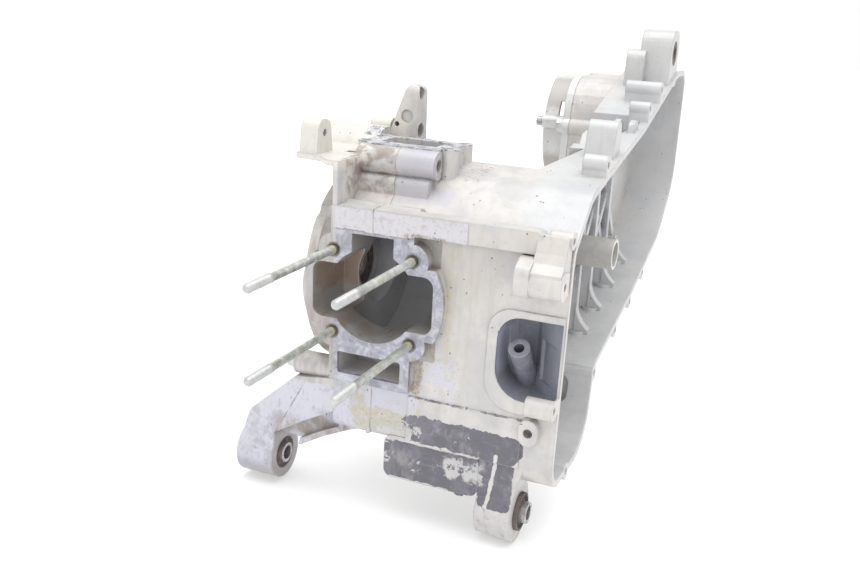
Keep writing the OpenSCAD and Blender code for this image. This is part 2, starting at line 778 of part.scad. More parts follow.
// The intake and the top passage part the gasket in two.
module front_part() {
    block(-2, 2, -2, 61, 38, pad_z + 1);
}
module case_gasket() {
    color("dimgray") difference() {
        joint_gasket();
        front_part();
    }
}
module front_gasket() {
    color("dimgray") intersection() {
        joint_gasket();
        front_part();
    }
}
module case_dowels() {
    color(steel) for (s = dowel_spots) difference() {
        bar_x(-dowel_len / 2, dowel_len / 2, s[0], s[1], dowel_d);
        bar_x(-dowel_len, dowel_len, s[0], s[1], dowel_d - 3);
    }
}
module hex_bolt(x, y, z, d, long, head) {
    bar_x(x, x + long, y, z, d);
    translate([x - 1.6, y, z]) rotate([0, 90, 0]) cylinder(h = 1.6, d = 2 * d);
    translate([x - 1.6 - head, y, z]) rotate([0, 90, 0]) cylinder(h = head, d = 1.85 * d, $fn = 6);
}
module case_bolts() {
    color(zinc) for (s = case_bolt_spots) hex_bolt(-s[2], s[0], s[1], bolt_d, s[2] + 19, 5);
}

// Cylinder studs

module cylinder_studs() {
    tip = 1;
    neck = 0.8;
    color(zinc) on_studs() difference() {
        union() {
            bar_y(-stud_out + 20, 0, 0, 0, stud_d);
            bar_y(0, stud_in, 0, 0, stud_thread_d);
            bar_y(-stud_out + tip, -stud_out + stud_thread_len, 0, 0, stud_thread_d);
            translate([0, -stud_out, 0]) rotate([-90, 0, 0])
                cylinder(h = tip, d1 = stud_thread_d - 2 * tip * neck, d2 = stud_thread_d);
        }
        translate([0, -stud_out - 0.01, 0]) rotate([-90, 0, 0]) cylinder(h = 0.9, d1 = 2, d2 = 0.4);
    }
}

// Engine mount bushes

module mount_rubber(x0, x1) {
    color(black) difference() {
        bar_x(x0, x1, mount_y, mount_z, mount_bore_d);
        bar_x(x0 - 1, x1 + 1, mount_y, mount_z, sleeve_d + fit_slack);
        for (x = [x0, x1]) translate([x, mount_y, mount_z]) rotate([0, 90, 0])
            rotate_extrude() translate([(mount_bore_d + sleeve_d) / 4, 0]) circle(r = 1.3);
    }
}
module mount_sleeve(x0, x1) {
    color(steel) difference() {
        bar_x(x0, x1, mount_y, mount_z, sleeve_d);
        bar_x(x0 - 1, x1 + 1, mount_y, mount_z, sleeve_bore_d);
    }
}
module left_mount_rubber() {
    mount_rubber(79.5, 106);
    color(black) difference() {
        bar_x(104.2, 106.8, mount_y, mount_z, 26);
        bar_x(100, 110, mount_y, mount_z, mount_bore_d - 1);
    }
}
module left_mount_sleeve() {
    mount_sleeve(76, 111);
}
module right_mount_rubber() {
    mount_rubber(-105, -76.5);
}
module right_mount_sleeve() {
    mount_sleeve(-107, -74);
}

// Small pieces of the tray

module tray_tube() {
    color(steel) difference() {
        bar_x(floor_x, rim_x + 0.5, tube_y, tube_z, tube_d);
        bar_x(floor_x - 1, rim_x + 1, tube_y, tube_z, tube_d - 2 * tube_t);
    }
}
module shock_bush() {
    color(black) difference() {
        bar_x(shock_x0, shock_x1, shock_y, shock_z, shock_bore_d);
        bar_x(shock_x0 - 1, shock_x1 + 1, shock_y, shock_z, sleeve_bore_d);
    }
}

// Gearbox cover with the brake ring

module gearbox_cover() {
    color(paint) difference() {
        union() {
            along_x(gear_joint_x - cover_t, gear_joint_x) gear_plate();
            difference() {
                bar_x(ring_x, gear_joint_x - 1, axle_y, axle_z, ring_d);
                bar_x(ring_x - 1, gear_joint_x - cover_t, axle_y, axle_z, ring_d - 2 * ring_t);
            }
            bar_x(gear_joint_x - cover_t - 12, gear_joint_x - 1, axle_y, axle_z, 48);
            bar_x(ring_x, gear_joint_x - 1, pin_y, pin_z, 11);
            bar_x(ring_x + 6, gear_joint_x - 1, axle_y - 4, axle_z - 32, 18);
        }
        bar_x(0, gear_joint_x + 1, axle_y, axle_z, 30);
        bar_x(0, gear_joint_x - 8, pin_y, pin_z, anchor_d + fit_slack);
        bar_x(0, gear_joint_x - 8, axle_y - 4, axle_z - 32, 12);
        for (s = gear_bolt_spots) bar_x(0, gear_joint_x + 1, s[0], s[1], bolt_d + bolt_slack);
        for (s = gear_bolt_spots) bar_x(ring_x - 1, gear_joint_x - cover_t, s[0], s[1], 14);
        block(ring_x + 12, gear_joint_x - cover_t - 2, axle_y - ring_d, axle_y - ring_d / 4, pin_z + 5, pin_z + 17);
    }
}
anchor_d = 6;
pin_y = axle_y - ring_d / 2 - 2;
pin_z = axle_z + 9;
module gearbox_gasket() {
    color("dimgray") difference() {
        along_x(gear_joint_x, gear_x0) gear_plate();
        along_x(gear_joint_x - 1, gear_x0 + 1) polygon(round_loop(inset(gear_corners, gear_wall)));
        for (s = gear_bolt_spots) bar_x(gear_joint_x - 1, gear_x0 + 1, s[0], s[1], bolt_d + bolt_slack);
    }
}
module gearbox_bolts() {
    color(zinc) for (s = gear_bolt_spots)
        hex_bolt(gear_joint_x - cover_t, s[0], s[1], bolt_d, 24, 4);
}
module brake_anchor_pin() {
    color(steel) {
        bar_x(ring_x - 5, ring_x - 0.5, pin_y, pin_z, anchor_d + 2.5);
        bar_x(ring_x - 2, gear_joint_x - 9, pin_y, pin_z, anchor_d);
    }
}
module brake_cam_bush() {
    color(brass) difference() {
        bar_x(ring_x + 5, gear_joint_x - 8, axle_y - 4, axle_z - 32, 12 - fit_slack);
        bar_x(0, gear_joint_x, axle_y - 4, axle_z - 32, 9);
    }
}

// Oil plugs of the gearbox

module drain_plug() {
    color(zinc) {
        bar_z(drain_z - 8, drain_z + 8, plug_x, drain_y, plug_d);
        bar_z(drain_z - 8, drain_z - 1.5, plug_x, drain_y, 13);
    }
}
module drain_washer() {
    color(brass) difference() {
        bar_z(drain_z - 1.5, drain_z, plug_x, drain_y, 14);
        bar_z(drain_z - 9, drain_z + 9, plug_x, drain_y, plug_d + fit_slack);
    }
}
module filler_plug() {
    color(black) {
        bar_y(plug_y - 8, plug_y + 8, plug_x, filler_z, plug_d);
        bar_y(plug_y + 1.5, plug_y + 8, plug_x, filler_z, 13);
    }
}
module filler_washer() {
    color(black) difference() {
        bar_y(plug_y, plug_y + 1.5, plug_x, filler_z, 14);
        bar_y(plug_y - 1, plug_y + 9, plug_x, filler_z, plug_d + fit_slack);
    }
}

left_case();
right_case();
case_gasket();
front_gasket();
case_dowels();
case_bolts();
cylinder_studs();
left_mount_rubber();
left_mount_sleeve();
right_mount_rubber();
right_mount_sleeve();
tray_tube();
shock_bush();
gearbox_cover();
gearbox_gasket();
gearbox_bolts();
brake_anchor_pin();
brake_cam_bush();
drain_plug();
drain_washer();
filler_plug();
filler_washer();
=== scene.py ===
import math
import bmesh
import bpy
from mathutils import Matrix, Vector


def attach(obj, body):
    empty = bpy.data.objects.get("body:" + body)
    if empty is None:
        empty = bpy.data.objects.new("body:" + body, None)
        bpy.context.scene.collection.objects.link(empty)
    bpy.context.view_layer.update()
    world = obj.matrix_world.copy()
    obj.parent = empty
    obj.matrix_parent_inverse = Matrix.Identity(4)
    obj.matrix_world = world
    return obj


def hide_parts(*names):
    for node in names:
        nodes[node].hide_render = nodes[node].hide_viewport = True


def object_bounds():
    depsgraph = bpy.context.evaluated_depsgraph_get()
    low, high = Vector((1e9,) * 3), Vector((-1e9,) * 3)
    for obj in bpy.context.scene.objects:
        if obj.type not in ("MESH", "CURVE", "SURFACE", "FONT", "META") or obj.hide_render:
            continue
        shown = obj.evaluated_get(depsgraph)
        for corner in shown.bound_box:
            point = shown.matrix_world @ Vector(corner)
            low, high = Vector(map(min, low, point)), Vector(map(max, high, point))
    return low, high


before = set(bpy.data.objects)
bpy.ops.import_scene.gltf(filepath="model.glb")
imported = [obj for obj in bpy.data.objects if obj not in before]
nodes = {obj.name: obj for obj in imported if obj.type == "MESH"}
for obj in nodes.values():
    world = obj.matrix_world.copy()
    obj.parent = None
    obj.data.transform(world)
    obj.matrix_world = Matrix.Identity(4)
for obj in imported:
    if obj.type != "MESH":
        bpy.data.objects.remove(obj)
cad_low, cad_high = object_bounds()
scene = bpy.context.scene
MM = 0.001


def mm(x, y, z):
    """A point given in millimetres."""
    return Vector((x, y, z)) * MM


def tone(red, green, blue):
    """A display colour, 0 to 255, as the linear colour that the shaders take."""
    def linear(level):
        level /= 255.0
        return level / 12.92 if level <= 0.04045 else ((level + 0.055) / 1.055) ** 2.4
    return (linear(red), linear(green), linear(blue), 1.0)


# ---------------------------------------------------------------- node trees

class Net:
    """Adds nodes to a tree and joins their sockets."""

    def __init__(self, tree):
        self.tree = tree
        self.place = 0

    def add(self, kind, values=None, **settings):
        node = self.tree.nodes.new(kind)
        for name, value in settings.items():
            setattr(node, name, value)
        for name, value in (values or {}).items():
            self.feed(node.inputs[name], value)
        node.location = (180 * (self.place % 12), -220 * (self.place // 12))
        self.place += 1
        return node

    def feed(self, socket, value):
        if isinstance(value, bpy.types.NodeSocket):
            self.tree.links.new(value, socket)
        else:
            socket.default_value = value

    def math(self, operation, first, second=0.0, third=0.0, clamp=False):
        node = self.add("ShaderNodeMath", {0: first, 1: second, 2: third}, operation=operation)
        node.use_clamp = clamp
        return node.outputs[0]

    def vector(self, operation, first, second=None, third=None, scale=None):
        node = self.add("ShaderNodeVectorMath", {0: first}, operation=operation)
        if second is not None:
            self.feed(node.inputs[1], second)
        if third is not None:
            self.feed(node.inputs[2], third)
        if scale is not None:
            self.feed(node.inputs["Scale"], scale)
        return node.outputs["Value" if operation in ("LENGTH", "DOT_PRODUCT", "DISTANCE") else "Vector"]

    def noise(self, vector, scale, detail=3.0, roughness=0.5, distortion=0.0):
        return self.add("ShaderNodeTexNoise", {
            "Vector": vector, "Scale": scale, "Detail": detail,
            "Roughness": roughness, "Distortion": distortion,
        }).outputs["Fac"]

    def cells(self, vector, scale, randomness=1.0, feature="F1"):
        return self.add("ShaderNodeTexVoronoi", {
            "Vector": vector, "Scale": scale, "Randomness": randomness}, feature=feature).outputs["Distance"]

    def between(self, value, low, high, out_low=0.0, out_high=1.0, smooth=True):
        return self.add("ShaderNodeMapRange", {
            "Value": value, "From Min": low, "From Max": high, "To Min": out_low, "To Max": out_high,
        }, interpolation_type="SMOOTHSTEP" if smooth else "LINEAR").outputs["Result"]

    def mix(self, share, first, second, blend="MIX"):
        node = self.add("ShaderNodeMix", data_type="RGBA", blend_type=blend)
        self.feed(node.inputs[0], share)
        self.feed(node.inputs[6], first)
        self.feed(node.inputs[7], second)
        return node.outputs[2]

    def blend(self, share, first, second):
        node = self.add("ShaderNodeMix", data_type="FLOAT")
        self.feed(node.inputs[0], share)
        self.feed(node.inputs[2], first)
        self.feed(node.inputs[3], second)
        return node.outputs[0]

    def group(self, tree, **values):
        node = self.add("ShaderNodeGroup", node_tree=tree)
        for name, value in values.items():
            self.feed(node.inputs[name], value)
        return node.outputs


def new_group(name, inputs, outputs):
    tree = bpy.data.node_groups.new(name, "ShaderNodeTree")
    for label, kind, value in inputs:
        socket = tree.interface.new_socket(label, in_out="INPUT", socket_type="NodeSocket" + kind)
        if value is not None:
            socket.default_value = value
    for label, kind in outputs:
        tree.interface.new_socket(label, in_out="OUTPUT", socket_type="NodeSocket" + kind)
    net = Net(tree)
    enter = net.add("NodeGroupInput").outputs
    leave = net.add("NodeGroupOutput").inputs
    return net, enter, leave


def patch_group():
    """A rounded box in the object's own frame, with a ragged edge: 1 inside and 0 outside."""
    net, enter, leave = new_group("ragged_patch", [
        ("Vector", "Vector", None), ("Centre", "Vector", None), ("Half", "Vector", None),
        ("Corner", "Float", 0.004), ("Soft", "Float", 0.0005),
        ("Ragged", "Float", 0.002), ("Ragged_Scale", "Float", 150.0),
    ], [("Mask", "Float")])
    away = net.vector("ABSOLUTE", net.vector("SUBTRACT", enter["Vector"], enter["Centre"]))
    corner = net.add("ShaderNodeCombineXYZ", {0: enter["Corner"], 1: enter["Corner"], 2: enter["Corner"]}).outputs[0]
    over = net.vector("ADD", net.vector("SUBTRACT", away, enter["Half"]), corner)
    outside = net.vector("LENGTH", net.vector("MAXIMUM", over, (0, 0, 0)))
    sides = net.add("ShaderNodeSeparateXYZ", {0: over}).outputs
    deepest = net.math("MAXIMUM", net.math("MAXIMUM", sides[0], sides[1]), sides[2])
    distance = net.math("SUBTRACT", net.math("ADD", outside, net.math("MINIMUM", deepest, 0.0)), enter["Corner"])
    wave = net.math("SUBTRACT", net.noise(enter["Vector"], enter["Ragged_Scale"], 5.0, 0.62), 0.5)
    distance = net.math("MULTIPLY_ADD", wave, net.math("MULTIPLY", enter["Ragged"], 4.0), distance)
    net.feed(leave["Mask"], net.between(distance, net.math("MULTIPLY", enter["Soft"], -1.0), enter["Soft"], 1.0, 0.0))
    return net.tree


def grain_group():
    """Sand-cast skin: broad mottling, fine grain, dark specks and fine scratches."""
    net, enter, leave = new_group("cast_skin", [
        ("Vector", "Vector", None), ("Mottle_Scale", "Float", 45.0), ("Grain_Scale", "Float", 1300.0),
        ("Speck_Scale", "Float", 190.0), ("Speck_Size", "Float", 0.15),
    ], [("Mottle", "Float"), ("Grain", "Float"), ("Specks", "Float"), ("Scratches", "Float")])
    broad = net.noise(enter["Vector"], enter["Mottle_Scale"], 6.0, 0.6, 0.4)
    net.feed(leave["Mottle"], net.between(broad, 0.34, 0.66))
    fine = net.noise(enter["Vector"], enter["Grain_Scale"], 3.0, 0.6)
    pits = net.cells(enter["Vector"], net.math("MULTIPLY", enter["Grain_Scale"], 0.45))
    net.feed(leave["Grain"], net.math("ADD", net.math("MULTIPLY", fine, 0.6), net.math("MULTIPLY", pits, 0.5)))
    spots = net.cells(net.vector("ADD", enter["Vector"], (0.3, 0.1, 0.2)), enter["Speck_Scale"])
    dots = net.between(spots, net.math("MULTIPLY", enter["Speck_Size"], 0.6), enter["Speck_Size"], 1.0, 0.0)
    sparse = net.between(net.noise(enter["Vector"], 60.0, 2.0), 0.56, 0.62)
    net.feed(leave["Specks"], net.math("MULTIPLY", dots, sparse))
    long_way = net.add("ShaderNodeMapping", {
        "Vector": enter["Vector"], "Rotation": (0.35, 0.5, 0.9), "Scale": (30.0, 1400.0, 900.0)}).outputs[0]
    lines = net.noise(long_way, 1.0, 2.0, 0.5)
    cross_way = net.add("ShaderNodeMapping", {
        "Vector": enter["Vector"], "Rotation": (1.2, -0.4, 0.2), "Scale": (1200.0, 40.0, 1000.0)}).outputs[0]
    more = net.noise(cross_way, 1.0, 2.0, 0.5)
    net.feed(leave["Scratches"], net.math("MAXIMUM", net.between(lines, 0.7, 0.74), net.between(more, 0.71, 0.75)))
    return net.tree


def edge_group():
    """Rounded edges: the eased normal, and a mask of the outer edges where paint is worn off."""
    net, enter, leave = new_group("worn_edges", [
        ("Vector", "Vector", None), ("Radius", "Float", 0.0012), ("Break_Up", "Float", 0.5),
    ], [("Wear", "Float"), ("Normal", "Vector")])
    eased = net.add("ShaderNodeBevel", {"Radius": enter["Radius"]}, samples=6).outputs[0]
    true = net.add("ShaderNodeNewGeometry").outputs["True Normal"]
    turn = net.math("SUBTRACT", 1.0, net.vector("DOT_PRODUCT", eased, true))
    open_air = net.add("ShaderNodeAmbientOcclusion", {"Distance": 0.004}, samples=6).outputs["AO"]
    broken = net.math("MULTIPLY", net.between(net.noise(enter["Vector"], 420.0, 4.0, 0.65), 0.38, 0.62),
                      enter["Break_Up"])
    strength = net.math("SUBTRACT", net.math("MULTIPLY", turn, net.between(open_air, 0.55, 0.85)),
                        net.math("MULTIPLY", broken, 0.12))
    net.feed(leave["Wear"], net.between(strength, 0.03, 0.1))
    net.feed(leave["Normal"], eased)
    return net.tree


def grime_group():
    """Oily dirt that gathers in corners, thicker where the noise is high."""
    net, enter, leave = new_group("corner_grime", [
        ("Vector", "Vector", None), ("Distance", "Float", 0.012), ("Spread", "Float", 0.4),
    ], [("Mask", "Float")])
    shut = net.math("SUBTRACT", 1.0, net.add(
        "ShaderNodeAmbientOcclusion", {"Distance": enter["Distance"]}, samples=8).outputs["AO"])
    rough = net.noise(enter["Vector"], 130.0, 5.0, 0.65)
    low = net.math("SUBTRACT", 0.75, enter["Spread"])
    amount = net.math("MULTIPLY_ADD", net.math("SUBTRACT", rough, 0.5), 0.9, shut)
    net.feed(leave["Mask"], net.between(amount, low, net.math("ADD", low, 0.45)))
    return net.tree


def flake_group():
    """Where a dark paint has flaked off, in sharp-edged chips."""
    net, enter, leave = new_group("paint_flakes", [
        ("Vector", "Vector", None), ("Scale", "Float", 60.0), ("Amount", "Float", 0.5), ("Sharp", "Float", 0.012),
    ], [("Mask", "Float")])
    coarse = net.noise(enter["Vector"], enter["Scale"], 7.0, 0.68, 0.3)
    chips = net.noise(enter["Vector"], net.math("MULTIPLY", enter["Scale"], 5.0), 4.0, 0.6)
    level = net.math("MULTIPLY_ADD", net.math("SUBTRACT", chips, 0.5), 0.28, coarse)
    edge = net.math("SUBTRACT", 1.0, net.math("MULTIPLY_ADD", enter["Amount"], 0.5, 0.25))
    net.feed(leave["Mask"], net.between(level, net.math("SUBTRACT", edge, enter["Sharp"]),
                                        net.math("ADD", edge, enter["Sharp"])))
    return net.tree


def run_group():
    """Stains that run down the casting."""
    net, enter, leave = new_group("stain_runs", [
        ("Vector", "Vector", None), ("Width_Scale", "Float", 160.0), ("Length_Scale", "Float", 14.0),
        ("Low", "Float", 0.5), ("High", "Float", 0.68),
    ], [("Mask", "Float")])
    size = net.add("ShaderNodeCombineXYZ", {
        0: enter["Width_Scale"], 1: enter["Width_Scale"], 2: enter["Length_Scale"]}).outputs[0]
    net.feed(leave["Mask"], net.between(
        net.noise(net.vector("MULTIPLY", enter["Vector"], size), 1.0, 4.0, 0.6), enter["Low"], enter["High"]))
    return net.tree


PATCH = patch_group()
SKIN = grain_group()
EDGES = edge_group()
GRIME = grime_group()
FLAKES = flake_group()
RUNS = run_group()


class Finish:
    """Colour, roughness and metal of a surface, laid one layer over another."""

    def __init__(self, name, colour, roughness, metal):
        self.material = bpy.data.materials.new(name)
        self.material.use_nodes = True
        self.net = Net(self.material.node_tree)
        self.net.tree.nodes.clear()
        self.where = self.net.add("ShaderNodeTexCoord").outputs["Object"]
        self.colour, self.roughness, self.metal = colour, roughness, metal
        self.relief = 0.0
        self.sunk = []

    def lay(self, mask, colour=None, roughness=None, metal=None):
        if colour is not None:
            self.colour = self.net.mix(mask, self.colour, colour)
        if roughness is not None:
            self.roughness = self.net.blend(mask, self.roughness, roughness)
        if metal is not None:
            self.metal = self.net.blend(mask, self.metal, metal)

    def patch(self, centre, half, corner=4.0, soft=0.5, ragged=2.0, scale=150.0):
        """A ragged patch round a centre, all in millimetres."""
        return self.net.group(PATCH, Vector=self.where, Centre=mm(*centre), Half=mm(*half), Corner=corner * MM,
                              Soft=soft * MM, Ragged=ragged * MM, Ragged_Scale=scale)["Mask"]

    def raise_by(self, height, share):
        """Adds a height in millimetres to the relief."""
        self.relief = self.net.math("MULTIPLY_ADD", height, share * MM, self.relief)

    def close(self, normal=None, strength=1.0):
        surface = self.net.add("ShaderNodeBsdfPrincipled", {
            "Base Color": self.colour, "Roughness": self.roughness, "Metallic": self.metal})
        bump = self.net.add("ShaderNodeBump", {"Height": self.relief, "Strength": strength, "Distance": 1.0})
        if normal is not None:
            self.net.feed(bump.inputs["Normal"], normal)
        self.net.feed(surface.inputs["Normal"], bump.outputs[0])
        self.surface = surface
        out = self.net.add("ShaderNodeOutputMaterial")
        self.net.feed(out.inputs["Surface"], surface.outputs[0])
        return self.material


# ---------------------------------------------------------------- tones

SILVER = tone(208, 205, 201)
SILVER_GREY = tone(190, 189, 189)
SILVER_WARM = tone(206, 200, 193)
BARE_METAL = tone(198, 198, 205)
MACHINED = tone(158, 159, 171)
MACHINED_DARK = tone(120, 120, 130)
OIL_BROWN = tone(124, 112, 101)
OIL_DARK = tone(86, 80, 76)
EARTH = tone(168, 156, 138)
NAVY = tone(104, 102, 110)
NAVY_WORN = tone(120, 118, 126)
SLATE = tone(146, 149, 160)
BEIGE = tone(186, 181, 164)
LAVENDER = tone(198, 198, 210)
BORE_GREY = tone(166, 164, 160)
BORE_BROWN = tone(150, 130, 114)
# painted light, laid on the deep part of the crank chamber
BORE_DEEP_PAINTED_LIGHT = tone(200, 200, 202)


def machined_face(finish, skin, centre, half):
    """The milled cylinder face round the mouth, bluish grey with dark blots, and the painted band above it."""
    net = finish.net
    band = finish.patch((centre[0], centre[1], 54), (half[0], half[1] - 2.5, 13), 0.1, 0.08, 0.0)
    scuffs = net.between(net.noise(finish.where, 240.0, 6.0, 0.72, 0.5), 0.5, 0.62)
    finish.lay(band, tone(204, 202, 206), 0.45, 0.2)
    finish.lay(net.math("MULTIPLY", band, net.math("MULTIPLY", scuffs, 0.5)), tone(170, 167, 170), 0.5)
    mask = finish.patch(centre, half, 0.1, 0.1, 1.1, 130)
    rim = net.math("SUBTRACT", finish.patch((centre[0], centre[1], centre[2] + 0.6), (half[0], half[1], half[2]),
                                            0.1, 0.25, 1.3, 130), mask)
    finish.lay(net.math("MULTIPLY", net.math("MAXIMUM", rim, 0.0), 0.8), OIL_BROWN, 0.6)
    finish.lay(mask, MACHINED, 0.42, 0.55)
    mottle = net.between(net.noise(finish.where, 150.0, 6.0, 0.7, 0.6), 0.42, 0.62)
    finish.lay(net.math("MULTIPLY", mask, net.math("MULTIPLY", mottle, 0.8)), BARE_METAL, 0.36)
    cloud = net.between(net.noise(net.vector("ADD", finish.where, (0.5, 0.1, 0.3)), 70.0, 6.0, 0.7, 0.8), 0.46, 0.64)
    finish.lay(net.math("MULTIPLY", mask, net.math("MULTIPLY", cloud, 0.5)), MACHINED_DARK, 0.45)
    blots = net.between(net.noise(finish.where, 330.0, 4.0, 0.7), 0.6, 0.68)
    finish.lay(net.math("MULTIPLY", mask, net.math("MULTIPLY", blots, 0.55)), MACHINED_DARK, 0.5)
    finish.lay(net.math("MULTIPLY", mask, net.math("MULTIPLY", skin["Specks"], 0.9)), OIL_DARK, 0.6)


def cast_base(name, mottle_scale=45.0):
    finish = Finish(name, SILVER, 0.5, 0.22)
    net = finish.net
    skin = net.group(SKIN, Vector=finish.where, Mottle_Scale=mottle_scale)
    finish.lay(skin["Mottle"], SILVER_GREY, 0.46)
    warm = net.between(net.noise(net.vector("ADD", finish.where, (0.4, 0.2, 0.6)), 18.0, 4.0, 0.6), 0.48, 0.66)
    finish.lay(net.math("MULTIPLY", warm, 0.6), SILVER_WARM)
    runs = net.group(RUNS, Vector=finish.where)
    finish.lay(net.math("MULTIPLY", runs["Mask"], 0.16), EARTH)
    return finish, skin


def handled_marks(finish):
    """Small dark pits, nicks and dull scuffs that a used casting has all over."""
    net = finish.net
    nicks = net.between(net.noise(net.vector("ADD", finish.where, (0.7, 0.2, 0.4)), 640.0, 3.0, 0.75), 0.655, 0.69)
    where = net.between(net.noise(net.vector("ADD", finish.where, (0.1, 0.6, 0.2)), 38.0, 4.0, 0.6), 0.46, 0.62)
    finish.lay(net.math("MULTIPLY", nicks, net.math("MULTIPLY", where, 0.6)), tone(112, 104, 98), 0.65, 0.1)
    finish.raise_by(nicks, -0.08)
    dull = net.between(net.noise(net.vector("MULTIPLY", finish.where, (1.0, 1.0, 0.55)), 120.0, 6.0, 0.7, 0.4), 0.5, 0.66)
    finish.lay(net.math("MULTIPLY", dull, 0.3), tone(186, 183, 184), 0.56, 0.15)


def cast_close(finish, skin, radius=1.2, grime=0.36, wear=0.6, grime_share=0.5, clean=0.0):
    """Dirt in the corners, apart from the clean places, bright worn edges and the relief of the cast skin."""
    net = finish.net
    handled_marks(finish)
    dirt = net.group(GRIME, Vector=finish.where, Spread=grime)["Mask"]
    dirt = net.math("MULTIPLY", dirt, net.math("MULTIPLY_ADD", clean, -0.85, 1.0))
    finish.lay(net.math("MULTIPLY", dirt, grime_share), OIL_BROWN, 0.6, 0.1)
    edges = net.group(EDGES, Vector=finish.where, Radius=radius * MM)
    finish.lay(net.math("MULTIPLY", edges["Wear"], wear), BARE_METAL, 0.34, 0.7)
    finish.lay(net.math("MULTIPLY", skin["Specks"], 0.75), OIL_DARK, 0.7, 0.0)
    finish.lay(net.math("MULTIPLY", skin["Scratches"], 0.22), BARE_METAL, 0.35)
    finish.raise_by(skin["Grain"], 0.05)
    finish.raise_by(skin["Mottle"], 0.06)
    return finish.close(edges["Normal"], 0.8)


def crank_chamber(finish):
    """Bare, oily metal of the mouth, the passages and the crank chamber, with painted light on the deep part of the
    chamber and painted shade on its upper part.
    """
    net = finish.net
    passages = finish.patch((0, 22.8, 2), (43.7, 22.2, 41.5), 2, 0.4, 0.0)
    reach = net.vector("LENGTH", net.vector("MULTIPLY", net.vector("SUBTRACT", finish.where, mm(0, 72, 0)), (0, 1, 1)))
    round_part = net.between(reach, 0.0514, 0.0518, 1.0, 0.0)
    narrow = finish.patch((0, 72, 0), (43.4, 60, 60), 0.1, 0.05, 0.0)
    inside = net.math("MAXIMUM", passages, net.math("MULTIPLY", round_part, narrow))
    finish.lay(inside, BORE_GREY, 0.38, 0.25)
    streaks = net.between(net.noise(net.vector("MULTIPLY", finish.where, (1.0, 0.35, 1.0)), 80, 5, 0.62), 0.46, 0.64)
    finish.lay(net.math("MULTIPLY", inside, net.math("MULTIPLY", streaks, 0.6)), BORE_BROWN, 0.34, 0.3)
    y = net.add("ShaderNodeSeparateXYZ", {0: finish.where}).outputs[1]
    # painted light: the deep part of the chamber laid a paler grey
    deep = net.between(y, 0.036, 0.066)
    finish.lay(net.math("MULTIPLY", inside, deep), BORE_DEEP_PAINTED_LIGHT, 0.4, 0.15)
    # painted shade: the upper part of the deep chamber laid darker
    z = net.add("ShaderNodeSeparateXYZ", {0: finish.where}).outputs[2]
    shade = net.math("MULTIPLY", deep, net.between(z, -0.006, 0.022))
    finish.lay(net.math("MULTIPLY", inside, net.math("MULTIPLY", shade, 0.8)), tone(140, 143, 158), 0.4)
    scorched = finish.patch((-38, 30, 6), (9, 26, 12), 6, 3.0, 5.0, 90)
    finish.lay(net.math("MULTIPLY", inside, net.math("MULTIPLY", scorched, 0.6)), tone(168, 138, 118), 0.4, 0.3)
    return inside


def intake_pad_marks(finish):
    """Gasket remnants on the pad's top face, white scuffs at its edge, and brown stains beside it."""
    net = finish.net
    top = finish.patch((0, 62, 94.5), (46, 29, 2.4), 1, 0.3, 0.3)
    finish.lay(net.math("MULTIPLY", top, 0.75), tone(186, 188, 197), 0.45, 0.4)
    scraps = net.between(net.noise(finish.where, 170, 6, 0.7, 0.5), 0.52, 0.56)
    finish.lay(net.math("MULTIPLY", top, net.math("MULTIPLY", scraps, 0.8)), tone(88, 86, 90), 0.75, 0.0)
    scuffed = net.between(net.noise(net.vector("ADD", finish.where, (0.2, 0.2, 0.2)), 210, 5, 0.7), 0.57, 0.62)
    finish.lay(net.math("MULTIPLY", top, net.math("MULTIPLY", scuffed, 0.7)), tone(236, 236, 238), 0.4, 0.3)
    stay_left = finish.patch((-16, 26, 78), (16, 14, 16), 5, 3.0, 3.0, 90)
    stains = net.between(net.noise(finish.where, 95, 6, 0.68, 0.4), 0.42, 0.58)
    finish.lay(net.math("MULTIPLY", stay_left, net.math("MULTIPLY", stains, 0.75)), tone(146, 131, 121), 0.5, 0.2)
    stay_right = finish.patch((22, 24, 78), (20, 14, 18), 5, 3.0, 3.0, 90)
    finish.lay(net.math("MULTIPLY", stay_right, 0.7), tone(184, 183, 194), 0.42, 0.3)
    side = finish.patch((46, 62, 86), (8, 38, 12), 4, 2.0, 3.0, 120)
    flecks = net.between(net.noise(finish.where, 360, 5, 0.72), 0.52, 0.6)
    finish.lay(net.math("MULTIPLY", side, net.math("MULTIPLY", flecks, 0.7)), tone(150, 134, 112), 0.6)


def chalky_patches(finish):
    """Yellowish, chalky paint at the left of the lower front, with pale bluish rubbed metal above it."""
    net = finish.net
    fine = net.noise(finish.where, 260, 5, 0.7)
    chalk = finish.patch((10, 4, -82), (27, 9, 11), 8, 0.8, 5.5, 75)
    finish.lay(net.math("MULTIPLY", chalk, net.between(fine, 0.38, 0.56, 0.35, 0.95)), BEIGE, 0.65, 0.08)
    grey = net.between(net.noise(finish.where, 150, 6, 0.72, 0.4), 0.52, 0.6)
    finish.lay(net.math("MULTIPLY", chalk, net.math("MULTIPLY", grey, 0.7)), tone(188, 186, 190), 0.5, 0.2)
    rubbed = finish.patch((15, 4, -71), (19, 9, 8), 7, 0.8, 5.0, 85)
    finish.lay(net.math("MULTIPLY", rubbed, net.between(fine, 0.36, 0.6, 0.55, 1.0)), tone(196, 196, 208), 0.45, 0.35)
    spots = net.between(net.noise(finish.where, 420, 4, 0.7), 0.62, 0.67)
    finish.lay(net.math("MULTIPLY", chalk, net.math("MULTIPLY", spots, 0.8)), OIL_BROWN, 0.7, 0.0)


